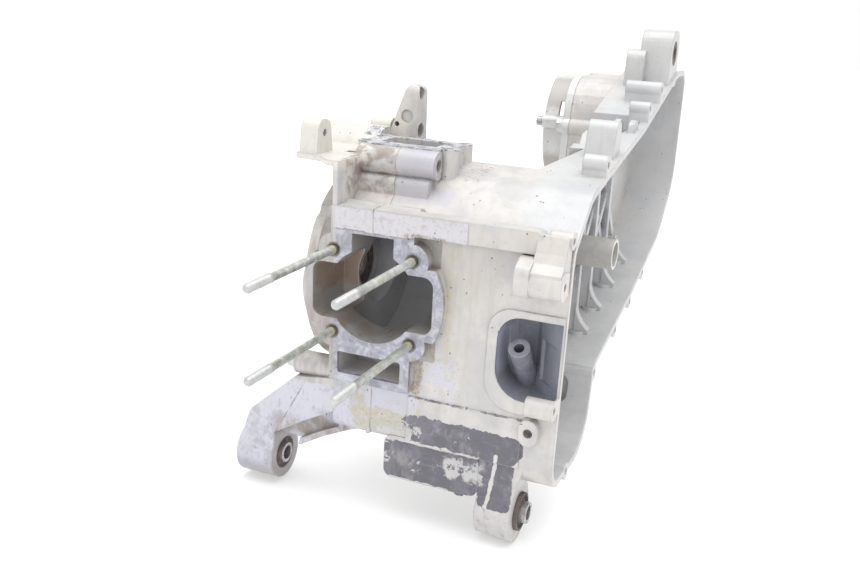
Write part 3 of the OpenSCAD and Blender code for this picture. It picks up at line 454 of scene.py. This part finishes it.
def left_casting():
    finish, skin = cast_base("silver_cast_left")
    net = finish.net
    # the inside of the tray is smooth and a little greener
    tray = finish.patch((109, 205, 20), (20.5, 190, 160), 8, 6.0, 3.0, 30)
    finish.lay(net.math("MULTIPLY", tray, 0.5), tone(192, 196, 200))
    smudges = finish.patch((96, 190, 30), (16, 80, 46), 12, 14, 8, 40)
    clouds = net.between(net.noise(finish.where, 34, 6, 0.68, 0.6), 0.44, 0.62)
    finish.lay(net.math("MULTIPLY", smudges, net.math("MULTIPLY", clouds, 0.6)), tone(142, 147, 156))
    cells = finish.patch((96, 196, 46), (14, 74, 52), 8, 6, 4, 60)
    shut = net.group(GRIME, Vector=finish.where, Distance=0.022, Spread=0.42)["Mask"]
    finish.lay(net.math("MULTIPLY", cells, net.math("MULTIPLY", shut, 0.7)), tone(112, 110, 110))
    # the milled face
    machined_face(finish, skin, (8, -3, -13), (61, 6, 55))
    # rubbed metal between the face and the lower front
    rubbed = finish.patch((46, 5, -52), (15, 8, 15), 9, 1.5, 4.5, 90)
    finish.lay(net.math("MULTIPLY", rubbed, net.between(net.noise(finish.where, 130, 5, 0.7), 0.42, 0.58, 0.0, 0.8)),
               LAVENDER, 0.4, 0.4)
    pits = net.between(net.noise(finish.where, 520, 4, 0.7), 0.6, 0.66)
    near = finish.patch((44, 5, -52), (19, 9, 19), 8, 4, 4, 90)
    finish.lay(net.math("MULTIPLY", near, net.math("MULTIPLY", pits, 0.6)), OIL_BROWN)
    # dirt along the step beside the face
    step = finish.patch((32, 5, -50), (3.4, 8, 14), 3, 1.2, 2.2, 190)
    finish.lay(net.math("MULTIPLY", step, net.between(net.noise(finish.where, 330, 5, 0.7), 0.35, 0.6, 0.25, 0.85)),
               tone(140, 122, 102))
    streak = finish.patch((51.3, 6, 2), (1.6, 9, 32), 1.2, 1.6, 1.8, 110)
    finish.lay(net.math("MULTIPLY", streak, net.between(net.noise(finish.where, 150, 5, 0.7), 0.38, 0.6, 0.1, 0.7)),
               tone(202, 194, 166))
    crust = finish.patch((36, 3, 43.5), (14, 7, 2.2), 1.5, 0.8, 1.8, 210)
    finish.lay(net.math("MULTIPLY", crust, net.between(net.noise(finish.where, 300, 5, 0.7), 0.42, 0.56, 0.0, 0.8)),
               tone(134, 124, 112))
    chalky_patches(finish)
    # dark paint over the lower front, the lump and the leg
    front = finish.patch((65, 2, -87), (43, 9, 9.5), 8, 0.22, 2.2, 120)
    leg = finish.patch((91, 2, -113), (11.5, 9, 18), 5, 0.22, 1.9, 130)
    lump_face = finish.patch((43, 4, -112.5), (38, 8.5, 13.5), 4, 0.22, 1.0, 150)
    lump_foot = finish.patch((66, 10, -124), (7, 8, 8), 2, 0.3, 0.6, 150)
    whole = net.math("MAXIMUM", net.math("MAXIMUM", front, leg), net.math("MAXIMUM", lump_face, lump_foot))
    bare = net.group(FLAKES, Vector=finish.where, Scale=52.0, Amount=0.2)["Mask"]
    more_bare = net.group(FLAKES, Vector=net.vector("ADD", finish.where, (0.2, 0.5, 0.1)), Scale=85.0, Amount=0.6)["Mask"]
    pale_end = finish.patch((65, 4, -111), (12, 9, 9), 4, 2.0, 9.0, 62)
    lump_left = finish.patch((8, 4, -106), (10, 9, 12), 6, 1.0, 5.0, 90)
    band_left = finish.patch((26, 4, -90), (16, 9, 7), 6, 1.0, 5.0, 90)
    thin = net.math("MAXIMUM", pale_end, net.math("MAXIMUM", lump_left, band_left))
    bare = net.math("MAXIMUM", bare, net.math("MULTIPLY", thin, more_bare))
    dark = net.math("MULTIPLY", whole, net.math("SUBTRACT", 1.0, bare))
    finish.lay(dark, NAVY, 0.5, 0.05)
    finish.lay(net.math("MULTIPLY", dark, net.between(net.noise(finish.where, 90, 4, 0.6), 0.45, 0.7)), NAVY_WORN)
    dust = net.between(net.noise(finish.where, 620, 4, 0.7), 0.64, 0.7)
    finish.lay(net.math("MULTIPLY", dark, net.math("MULTIPLY", dust, 0.6)), tone(176, 170, 166))
    finish.lay(net.math("MULTIPLY", net.math("MULTIPLY", whole, bare), 0.7), tone(190, 189, 190), 0.45, 0.3)
    finish.raise_by(dark, 0.09)
    # pale scratch on the leg
    scratch = net.group(PATCH, Vector=net.add("ShaderNodeMapping", {
        "Vector": finish.where, "Location": mm(88.6, 0, -112), "Rotation": (0, 0.13, 0)}, vector_type="TEXTURE").outputs[0],
        Centre=mm(0, 2, 0), Half=mm(1.3, 9, 20), Corner=1.2 * MM, Soft=0.3 * MM, Ragged=0.7 * MM, Ragged_Scale=260.0)["Mask"]
    finish.lay(scratch, SILVER, 0.45, 0.2)
    # dark broken line along the ledge
    line = finish.patch((68, 3, -65.3), (40, 6, 0.55), 0.5, 0.25, 0.8, 240)
    dashes = net.between(net.noise(net.vector("MULTIPLY", finish.where, (1.0, 0.1, 0.1)), 120, 3, 0.6), 0.44, 0.5)
    finish.lay(net.math("MULTIPLY", net.math("MULTIPLY", line, dashes), 0.85), OIL_DARK, 0.7, 0.0)
    # slate paint of the recess
    tilted = net.add("ShaderNodeMapping", {
        "Vector": finish.where, "Location": mm(104.9, 20.9, -26.7), "Rotation": (-0.047, 0, 0)},
        vector_type="TEXTURE").outputs[0]
    recess = net.group(PATCH, Vector=tilted, Centre=mm(0, 0, 0), Half=mm(20.9, 14.5, 27.85), Corner=0.6 * MM,
                       Soft=0.15 * MM, Ragged=0.12 * MM, Ragged_Scale=150.0)["Mask"]
    nozzle = finish.patch((99, 17, -22), (8.3, 15.5, 15), 1, 0.15, 0.0)
    recess = net.math("MAXIMUM", recess, nozzle)
    finish.lay(recess, SLATE, 0.42, 0.1)
    finish.lay(net.math("MULTIPLY", nozzle, 0.65), tone(120, 121, 129))
    # painted light: the left wall of the recess laid paler than the slate of the rest of the recess
    recess_left_wall_painted_light = finish.patch((83.5, 22, -26), (2.4, 14, 30), 2, 1.2, 0.0)
    finish.lay(net.math("MULTIPLY", recess_left_wall_painted_light, net.math("MULTIPLY", recess, 0.8)), tone(206, 210, 228))
    finish.lay(net.math("MULTIPLY", recess, net.between(net.noise(finish.where, 60, 4, 0.6), 0.5, 0.7, 0.0, 0.5)),
               tone(160, 162, 172))
    intake_pad_marks(finish)
    inside = crank_chamber(finish)
    # grime under the tray and round the mount
    low_end = finish.patch((100, 20, -138), (40, 30, 17), 6, 4, 6, 90)
    finish.lay(net.math("MULTIPLY", low_end, net.between(net.noise(finish.where, 180, 4, 0.65), 0.54, 0.66, 0.0, 0.4)),
               OIL_BROWN)
    return cast_close(finish, skin, clean=net.math("MAXIMUM", inside, recess))


def right_casting():
    finish, skin = cast_base("silver_cast_right", 60.0)
    net = finish.net
    machined_face(finish, skin, (-30, -3, -13), (31, 6, 55))
    # rubbed, pale arm with grey patches
    arm = finish.patch((-60, 20, -100), (50, 30, 44), 8, 4, 4, 60)
    finish.lay(net.math("MULTIPLY", arm, 0.85), LAVENDER, 0.42, 0.4)
    patches = net.between(net.noise(finish.where, 55, 7, 0.68, 0.4), 0.47, 0.6)
    finish.lay(net.math("MULTIPLY", arm, net.math("MULTIPLY", patches, 0.62)), tone(164, 163, 170), 0.5, 0.3)
    scrapes = net.between(net.noise(net.vector("MULTIPLY", finish.where, (1.0, 1.0, 0.3)), 420, 4, 0.7), 0.58, 0.66)
    finish.lay(net.math("MULTIPLY", arm, net.math("MULTIPLY", scrapes, 0.5)), tone(140, 139, 147), 0.5, 0.3)
    # painted shade: the bottom of the arm's lower boss laid darker grey
    low_boss_painted_shade = finish.patch((-90, 20, -150), (30, 32, 11), 6, 7, 3, 60)
    finish.lay(net.math("MULTIPLY", low_boss_painted_shade, 0.6), tone(150, 150, 159), 0.45, 0.4)
    boss_end = finish.patch((-76, 20, -137.5), (1.0, 22, 21), 0.5, 0.2, 0.1)
    worn_end = net.between(net.noise(finish.where, 130, 5, 0.65), 0.36, 0.62, 0.55, 0.9)
    finish.lay(net.math("MULTIPLY", boss_end, worn_end), tone(158, 153, 152), 0.48, 0.3)
    # oily front of the magneto skirt
    skirt = finish.patch((-45, 50, 5), (18.5, 60, 76), 3, 0.6, 0.6)
    finish.lay(net.math("MULTIPLY", skirt, 0.75), tone(198, 194, 190), 0.5, 0.2)
    runs = net.group(RUNS, Vector=net.vector("ADD", finish.where, (0.3, 0.0, 0.1)), Low=0.42, High=0.62)["Mask"]
    finish.lay(net.math("MULTIPLY", skirt, net.math("MULTIPLY", runs, 0.3)), OIL_BROWN, 0.5)
    low_skirt = finish.patch((-44, 20, -32), (20, 30, 22), 9, 7, 6, 80)
    finish.lay(net.math("MULTIPLY", low_skirt, 0.25), OIL_BROWN, 0.5)
    chalky_patches(finish)
    # pale shelf and lugs
    shelf = finish.patch((-55, 60, 100), (34, 70, 20), 4, 3, 2)
    finish.lay(net.math("MULTIPLY", shelf, 0.7), tone(222, 218, 209), 0.45)
    # painted shade: a dark line along the crease of the arm, and brownish painted shade in the hollow under its ridge
    crease_painted_shade = net.group(PATCH, Vector=net.add("ShaderNodeMapping", {
        "Vector": finish.where, "Location": mm(-66, 0, -98), "Rotation": (0, 0.5, 0)}, vector_type="TEXTURE").outputs[0],
        Centre=mm(0, 5, 0), Half=mm(0.35, 14, 27), Corner=0.3 * MM, Soft=0.3 * MM, Ragged=0.7 * MM, Ragged_Scale=200.0)["Mask"]
    finish.lay(net.math("MULTIPLY", crease_painted_shade, 0.6), tone(112, 108, 112), 0.6)
    ridge_hollow_painted_shade = finish.patch((-36, 16, -108), (40, 12, 9), 5, 3.0, 3.5, 90)
    finish.lay(net.math("MULTIPLY", ridge_hollow_painted_shade, net.between(net.noise(finish.where, 110, 5, 0.65), 0.36, 0.6, 0.2, 0.75)),
               tone(150, 138, 122), 0.5, 0.2)
    intake_pad_marks(finish)
    inside = crank_chamber(finish)
    return cast_close(finish, skin, clean=inside)


def cover_casting():
    finish, skin = cast_base("silver_cast_cover", 50.0)
    net = finish.net
    finish.lay(net.between(net.noise(finish.where, 26, 4), 0.3, 0.6, 0.55, 0.85), tone(216, 217, 216), 0.42)
    dish = finish.patch((38, 332, 78), (16, 44.3, 44.3), 3, 2, 1)
    finish.lay(net.math("MULTIPLY", dish, 0.5), OIL_BROWN, 0.5, 0.3)
    return cast_close(finish, skin)


def paper_gasket():
    finish = Finish("paper_gasket", tone(190, 186, 179), 0.85, 0.0)
    net = finish.net
    fibres = net.noise(finish.where, 900, 5, 0.7)
    finish.lay(net.between(fibres, 0.45, 0.62), tone(150, 146, 138))
    oil = net.between(net.noise(finish.where, 60, 4), 0.52, 0.64)
    finish.lay(oil, tone(140, 133, 123), 0.5)
    finish.raise_by(fibres, 0.03)
    return finish.close()


def zinc_plate(name="zinc_plate", pale_ends=False):
    finish = Finish(name, tone(190, 194, 188), 0.34, 0.62)
    net = finish.net
    bloom = net.between(net.noise(finish.where, 210, 6, 0.7, 0.5), 0.42, 0.62)
    finish.lay(bloom, tone(214, 218, 214), 0.42, 0.5)
    yellow = net.between(net.noise(net.vector("ADD", finish.where, (0.1, 0.4, 0.3)), 140, 5, 0.65), 0.5, 0.66)
    finish.lay(net.math("MULTIPLY", yellow, 0.6), tone(190, 184, 158), 0.45)
    blots = net.between(net.noise(net.vector("MULTIPLY", finish.where, (1.0, 0.5, 1.0)), 520, 4, 0.7), 0.6, 0.68)
    finish.lay(net.math("MULTIPLY", blots, 0.6), tone(128, 128, 124), 0.6, 0.3)
    if pale_ends:
        y = net.add("ShaderNodeSeparateXYZ", {0: finish.where}).outputs[1]
        end = net.between(y, -0.0772, -0.0762, 1.0, 0.0)
        finish.lay(net.math("MULTIPLY", end, 0.55), tone(186, 185, 189), 0.5, 0.4)
        ring = net.math("MULTIPLY", net.between(y, -0.079, -0.0775), net.between(y, -0.0755, -0.0742, 1.0, 0.0))
        finish.lay(net.math("MULTIPLY", ring, 0.35), tone(150, 146, 140), 0.5)
        root = net.between(y, -0.0065, -0.0045)
        finish.lay(net.math("MULTIPLY", root, 0.8), tone(186, 178, 146), 0.5, 0.3)
        collar = net.between(y, -0.0016, -0.0009)
        finish.lay(net.math("MULTIPLY", collar, 0.8), OIL_DARK, 0.45, 0.2)
    dirt = net.group(GRIME, Vector=finish.where, Distance=0.003, Spread=0.45)
    finish.lay(net.math("MULTIPLY", dirt["Mask"], 0.7), tone(96, 90, 80), 0.6, 0.1)
    fine = net.noise(finish.where, 1500, 3, 0.6)
    finish.raise_by(fine, 0.012)
    finish.raise_by(bloom, 0.01)
    return finish.close()


def turned_steel(name, colour, stain, roughness=0.34, brown_share=0.5, metal=0.85, lines=1.0):
    finish = Finish(name, colour, roughness, metal)
    net = finish.net
    turned = net.noise(net.vector("MULTIPLY", finish.where, (1.0, 0.04, 0.04)), 2600, 2, 0.5)
    finish.lay(net.math("MULTIPLY", net.between(turned, 0.35, 0.65), lines), tone(176, 176, 178), roughness + 0.06)
    rust = net.between(net.noise(finish.where, 190, 6, 0.7), 0.46, 0.6)
    finish.lay(net.math("MULTIPLY", rust, brown_share), stain, 0.62, 0.35)
    edges = net.group(EDGES, Vector=finish.where, Radius=0.5 * MM)
    finish.lay(net.math("MULTIPLY", edges["Wear"], 0.8), tone(228, 228, 232), 0.28, 0.9)
    dirt = net.group(GRIME, Vector=finish.where, Distance=0.004, Spread=0.45)
    finish.lay(net.math("MULTIPLY", dirt["Mask"], 0.7), OIL_DARK, 0.65, 0.1)
    finish.raise_by(turned, 0.01)
    finish.raise_by(rust, 0.015)
    return finish.close(edges["Normal"])


def old_rubber():
    finish = Finish("old_rubber", tone(98, 91, 88), 0.72, 0.0)
    net = finish.net
    bloom = net.between(net.noise(finish.where, 160, 5, 0.65), 0.45, 0.65)
    finish.lay(net.math("MULTIPLY", bloom, 0.65), tone(134, 122, 114), 0.85)
    dust = net.between(net.noise(finish.where, 700, 3, 0.6), 0.58, 0.68)
    finish.lay(net.math("MULTIPLY", dust, 0.4), tone(150, 140, 126), 0.9)
    edges = net.group(EDGES, Vector=finish.where, Radius=0.6 * MM)
    finish.raise_by(net.noise(finish.where, 1100, 3, 0.6), 0.03)
    return finish.close(edges["Normal"])


def dull_brass():
    finish = Finish("dull_brass", tone(176, 152, 104), 0.4, 0.85)
    net = finish.net
    dark = net.between(net.noise(finish.where, 230, 5, 0.65), 0.42, 0.62)
    finish.lay(net.math("MULTIPLY", dark, 0.7), tone(120, 98, 66), 0.5)
    edges = net.group(EDGES, Vector=finish.where, Radius=0.4 * MM)
    finish.lay(net.math("MULTIPLY", edges["Wear"], 0.7), tone(214, 190, 136), 0.3)
    finish.raise_by(net.noise(finish.where, 1300, 3, 0.5), 0.01)
    return finish.close(edges["Normal"])


def black_plastic():
    finish = Finish("black_plastic", tone(54, 54, 57), 0.45, 0.0)
    net = finish.net
    scuffs = net.between(net.noise(finish.where, 320, 5, 0.7), 0.52, 0.66)
    finish.lay(net.math("MULTIPLY", scuffs, 0.5), tone(96, 94, 92), 0.6)
    edges = net.group(EDGES, Vector=finish.where, Radius=0.5 * MM)
    finish.lay(net.math("MULTIPLY", edges["Wear"], 0.5), tone(120, 118, 116), 0.6)
    finish.raise_by(net.noise(finish.where, 1500, 3, 0.5), 0.02)
    return finish.close(edges["Normal"])


def dress(name, material):
    """Gives a node its material in place of the plain one."""
    mesh = nodes[name].data
    mesh.materials.clear()
    mesh.materials.append(material)


SLEEVE = turned_steel("sleeve_steel", tone(196, 194, 196), tone(132, 108, 88))
ZINC = zinc_plate()
RUBBER = old_rubber()
BRASS = dull_brass()
GASKET = paper_gasket()
PLASTIC = black_plastic()
dress("left_case", left_casting())
dress("right_case", right_casting())
dress("gearbox_cover", cover_casting())
dress("tray_tube", turned_steel("tube_steel", tone(206, 204, 199), tone(150, 142, 132), 0.4, 0.16, 0.5, 0.2))
for name in ("case_gasket", "front_gasket", "gearbox_gasket"):
    dress(name, GASKET)
for name in ("left_mount_sleeve", "right_mount_sleeve", "case_dowels", "brake_anchor_pin"):
    dress(name, SLEEVE)
for name in ("case_bolts", "gearbox_bolts", "drain_plug"):
    dress(name, ZINC)
for name in ("left_mount_rubber", "right_mount_rubber", "shock_bush", "filler_washer"):
    dress(name, RUBBER)
for name in ("brake_cam_bush", "drain_washer"):
    dress(name, BRASS)
dress("filler_plug", PLASTIC)


# ---------------------------------------------------------------- cylinder studs

STUD_PITCH = 56.0
STUD_OUT = 101.7


def lathe(name, profile, sides):
    """A closed turned form about the Y axis, from [along, radius] pairs in millimetres that start and end on the axis."""
    mesh = bpy.data.meshes.new(name)
    form = bmesh.new()
    rings = []
    for along, radius in profile:
        if radius == 0:
            rings.append([form.verts.new((0, along * MM, 0))])
            continue
        rings.append([form.verts.new((
            radius * MM * math.cos(2 * math.pi * i / sides), along * MM,
            radius * MM * math.sin(2 * math.pi * i / sides))) for i in range(sides)])
    for first, second in zip(rings, rings[1:]):
        for i in range(sides):
            j = (i + 1) % sides
            if len(first) == 1:
                form.faces.new((first[0], second[i], second[j]))
            elif len(second) == 1:
                form.faces.new((first[i], second[0], first[j]))
            else:
                form.faces.new((first[i], second[i], second[j], first[j]))
    bmesh.ops.recalc_face_normals(form, faces=form.faces)
    for face in form.faces:
        face.smooth = True
    form.to_mesh(mesh)
    form.free()
    return mesh


def thread(start, end, crest, root, pitch):
    """Profile of a thread between two places along the stud."""
    steps = int(round((end - start) / pitch))
    points = []
    for i in range(steps):
        at = start + i * pitch
        points += [(at, root), (at + 0.36 * pitch, crest), (at + 0.56 * pitch, crest), (at + 0.92 * pitch, root)]
    return points


def stud_profile():
    tip = -STUD_OUT
    rounded = [(tip, 0), (tip + 0.02, 1.2), (tip + 0.3, 1.9), (tip + 0.8, 2.45), (tip + 1.3, 2.62)]
    outer = thread(tip + 1.6, tip + 24.6, 3.0, 2.62, 1.0)
    run_out = [(tip + 25.0, 2.95), (tip + 25.9, 2.98), (tip + 26.4, 2.7)]
    shank = [(tip + 40.0, 2.7), (tip + 70.0, 2.7), (-6.2, 2.7), (-5.6, 2.92)]
    inner = thread(-5.2, 2.8, 3.0, 2.6, 1.0)
    return rounded + outer + run_out + shank + inner + [(3.0, 2.5), (3.0, 0)]


def on_four_corners(mesh, name, pitch, material):
    """Puts one form on the corners of an upright square with Geometry Nodes and returns the plain mesh object."""
    tree = bpy.data.node_groups.new(name + "_pattern", "GeometryNodeTree")
    tree.interface.new_socket("Geometry", in_out="INPUT", socket_type="NodeSocketGeometry")
    wide = tree.interface.new_socket("Pitch", in_out="INPUT", socket_type="NodeSocketFloat")
    form = tree.interface.new_socket("Form", in_out="INPUT", socket_type="NodeSocketObject")
    paint = tree.interface.new_socket("Finish", in_out="INPUT", socket_type="NodeSocketMaterial")
    tree.interface.new_socket("Geometry", in_out="OUTPUT", socket_type="NodeSocketGeometry")
    net = Net(tree)
    enter = net.add("NodeGroupInput").outputs
    leave = net.add("NodeGroupOutput").inputs
    grid = net.add("GeometryNodeMeshGrid", {
        "Size X": enter["Pitch"], "Size Y": enter["Pitch"], "Vertices X": 2, "Vertices Y": 2}).outputs["Mesh"]
    upright = net.add("GeometryNodeTransform", {"Geometry": grid, "Rotation": (math.radians(90), 0, 0)}).outputs[0]
    shape = net.add("GeometryNodeObjectInfo", {"Object": enter["Form"]}).outputs["Geometry"]
    turned = net.add("FunctionNodeRandomValue", {2: 0.0, 3: 6.2, "Seed": 4}, data_type="FLOAT").outputs[1]
    spin = net.add("ShaderNodeCombineXYZ", {1: turned}).outputs[0]
    placed = net.add("GeometryNodeInstanceOnPoints", {"Points": upright, "Instance": shape, "Rotation": spin}).outputs[0]
    real = net.add("GeometryNodeRealizeInstances", {"Geometry": placed}).outputs[0]
    final = net.add("GeometryNodeSetMaterial", {"Geometry": real, "Material": enter["Finish"]}).outputs[0]
    net.feed(leave["Geometry"], final)
    model = bpy.data.objects.new(name + "_form", mesh)
    scene.collection.objects.link(model)
    carrier = bpy.data.objects.new(name + "_carrier", bpy.data.meshes.new(name + "_carrier"))
    scene.collection.objects.link(carrier)
    pattern = carrier.modifiers.new("pattern", "NODES")
    pattern.node_group = tree
    pattern[wide.identifier] = pitch * MM
    pattern[form.identifier] = model
    pattern[paint.identifier] = material
    depsgraph = bpy.context.evaluated_depsgraph_get()
    made = bpy.data.meshes.new_from_object(carrier.evaluated_get(depsgraph))
    made.name = name
    carrier.modifiers.remove(pattern)
    bpy.data.objects.remove(carrier)
    bpy.data.objects.remove(model)
    piece = bpy.data.objects.new(name, made)
    scene.collection.objects.link(piece)
    return piece


studs = on_four_corners(lathe("stud", stud_profile(), 28), "threaded_studs", STUD_PITCH, zinc_plate("stud_zinc", True))
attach(studs, "root")
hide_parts("cylinder_studs")


# ---------------------------------------------------------------- crank seals

def crank_seal(name, start, end):
    """A ring with a rolled rim, a sunk web and a lip, about the crank axis, from one X to the other in millimetres."""
    deep = end - start
    ring = [(0, 19.6), (0.5, 20.0), (deep - 0.5, 20.0), (deep, 19.6), (deep, 17.6), (deep - 0.7, 17.0),
            (deep - 1.8, 16.4), (deep - 1.9, 13.2), (deep - 0.9, 12.2), (deep - 0.6, 11.0), (deep * 0.5, 10.0),
            (0.6, 11.0), (0.9, 12.2), (1.9, 13.2), (1.8, 16.4), (0.7, 17.0), (0, 17.6)]
    sides = 96
    form = bmesh.new()
    rows = [[form.verts.new(mm(start + along, 72 + radius * math.cos(2 * math.pi * i / sides),
                               radius * math.sin(2 * math.pi * i / sides))) for i in range(sides)]
            for along, radius in ring]
    for first, second in zip(rows, rows[1:] + rows[:1]):
        for i in range(sides):
            j = (i + 1) % sides
            form.faces.new((first[i], second[i], second[j], first[j]))
    bmesh.ops.recalc_face_normals(form, faces=form.faces)
    mesh = bpy.data.meshes.new(name)
    form.to_mesh(mesh)
    form.free()
    mesh.materials.append(RUBBER)
    seal = bpy.data.objects.new(name, mesh)
    scene.collection.objects.link(seal)
    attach(seal, "root")


crank_seal("belt_side_crank_seal", 42.8, 49.4)
crank_seal("magneto_side_crank_seal", -50.4, -43.8)


# ---------------------------------------------------------------- floor, light and camera

def pale_floor():
    low = cad_low[2] - 0.0002
    mesh = bpy.data.meshes.new("floor")
    wide = 6.0
    mesh.from_pydata([(-wide, -wide, low), (wide, -wide, low), (wide, wide, low), (-wide, wide, low)], [], [(0, 1, 2, 3)])
    floor = bpy.data.objects.new("floor", mesh)
    scene.collection.objects.link(floor)
    finish = Finish("white_sheet", tone(214, 214, 215), 0.95, 0.0)
    shade = finish.net.between(finish.net.noise(finish.where, 3.0, 2), 0.3, 0.7)
    finish.lay(shade, tone(217, 217, 217))
    material = finish.close()
    finish.surface.inputs["Emission Color"].default_value = (1.0, 1.0, 1.0, 1.0)
    finish.surface.inputs["Emission Strength"].default_value = 0.34
    mesh.materials.append(material)
    return floor


pale_floor()

world = bpy.data.worlds.new("studio")
scene.world = world
world.use_nodes = True
backdrop = world.node_tree.nodes["Background"]
backdrop.inputs["Color"].default_value = (1.0, 1.0, 1.0, 1.0)
backdrop.inputs["Strength"].default_value = 1.0


def soft_light(name, place, target, size, power, colour=(1, 1, 1)):
    lamp = bpy.data.lights.new(name, "AREA")
    lamp.shape = "RECTANGLE"
    lamp.size, lamp.size_y = size
    lamp.energy = power
    lamp.color = colour
    light = bpy.data.objects.new(name, lamp)
    scene.collection.objects.link(light)
    aim = (Vector(target) - Vector(place)).to_track_quat("-Z", "Y")
    light.matrix_world = Matrix.Translation(place) @ aim.to_matrix().to_4x4()
    return light


soft_light("overhead", (0.15, 0.1, 1.3), (0.02, 0.12, 0.0), (1.2, 1.2), 3.0)
soft_light("front_fill", (0.2, -1.4, 0.6), (0.02, 0.0, 0.0), (1.0, 0.8), 1.0)

sky_lamp = bpy.data.lights.new("soft_sky", "SUN")
sky_lamp.energy = 1.4
sky_lamp.angle = math.radians(60)
sky = bpy.data.objects.new("soft_sky", sky_lamp)
scene.collection.objects.link(sky)
sky.matrix_world = Vector((-0.12, 0.02, -1.0)).to_track_quat("-Z", "Y").to_matrix().to_4x4()

eye = bpy.data.cameras.new("photo_view")
eye.lens = 40.256
eye.sensor_width = 36.0
eye.sensor_fit = "HORIZONTAL"
eye.clip_start = 0.02
eye.clip_end = 30.0
camera = bpy.data.objects.new("photo_view", eye)
scene.collection.objects.link(camera)
camera.matrix_world = Matrix((
    (0.91872929, -0.15610552, 0.36272242, 0.25914197),
    (0.39219686, 0.25365983, -0.88421621, -0.53216976),
    (0.04602292, 0.95461393, 0.29426881, 0.19104416),
    (0.0, 0.0, 0.0, 1.0),
))
scene.camera = camera
scene.view_settings.view_transform = "Standard"
scene.view_settings.look = "None"
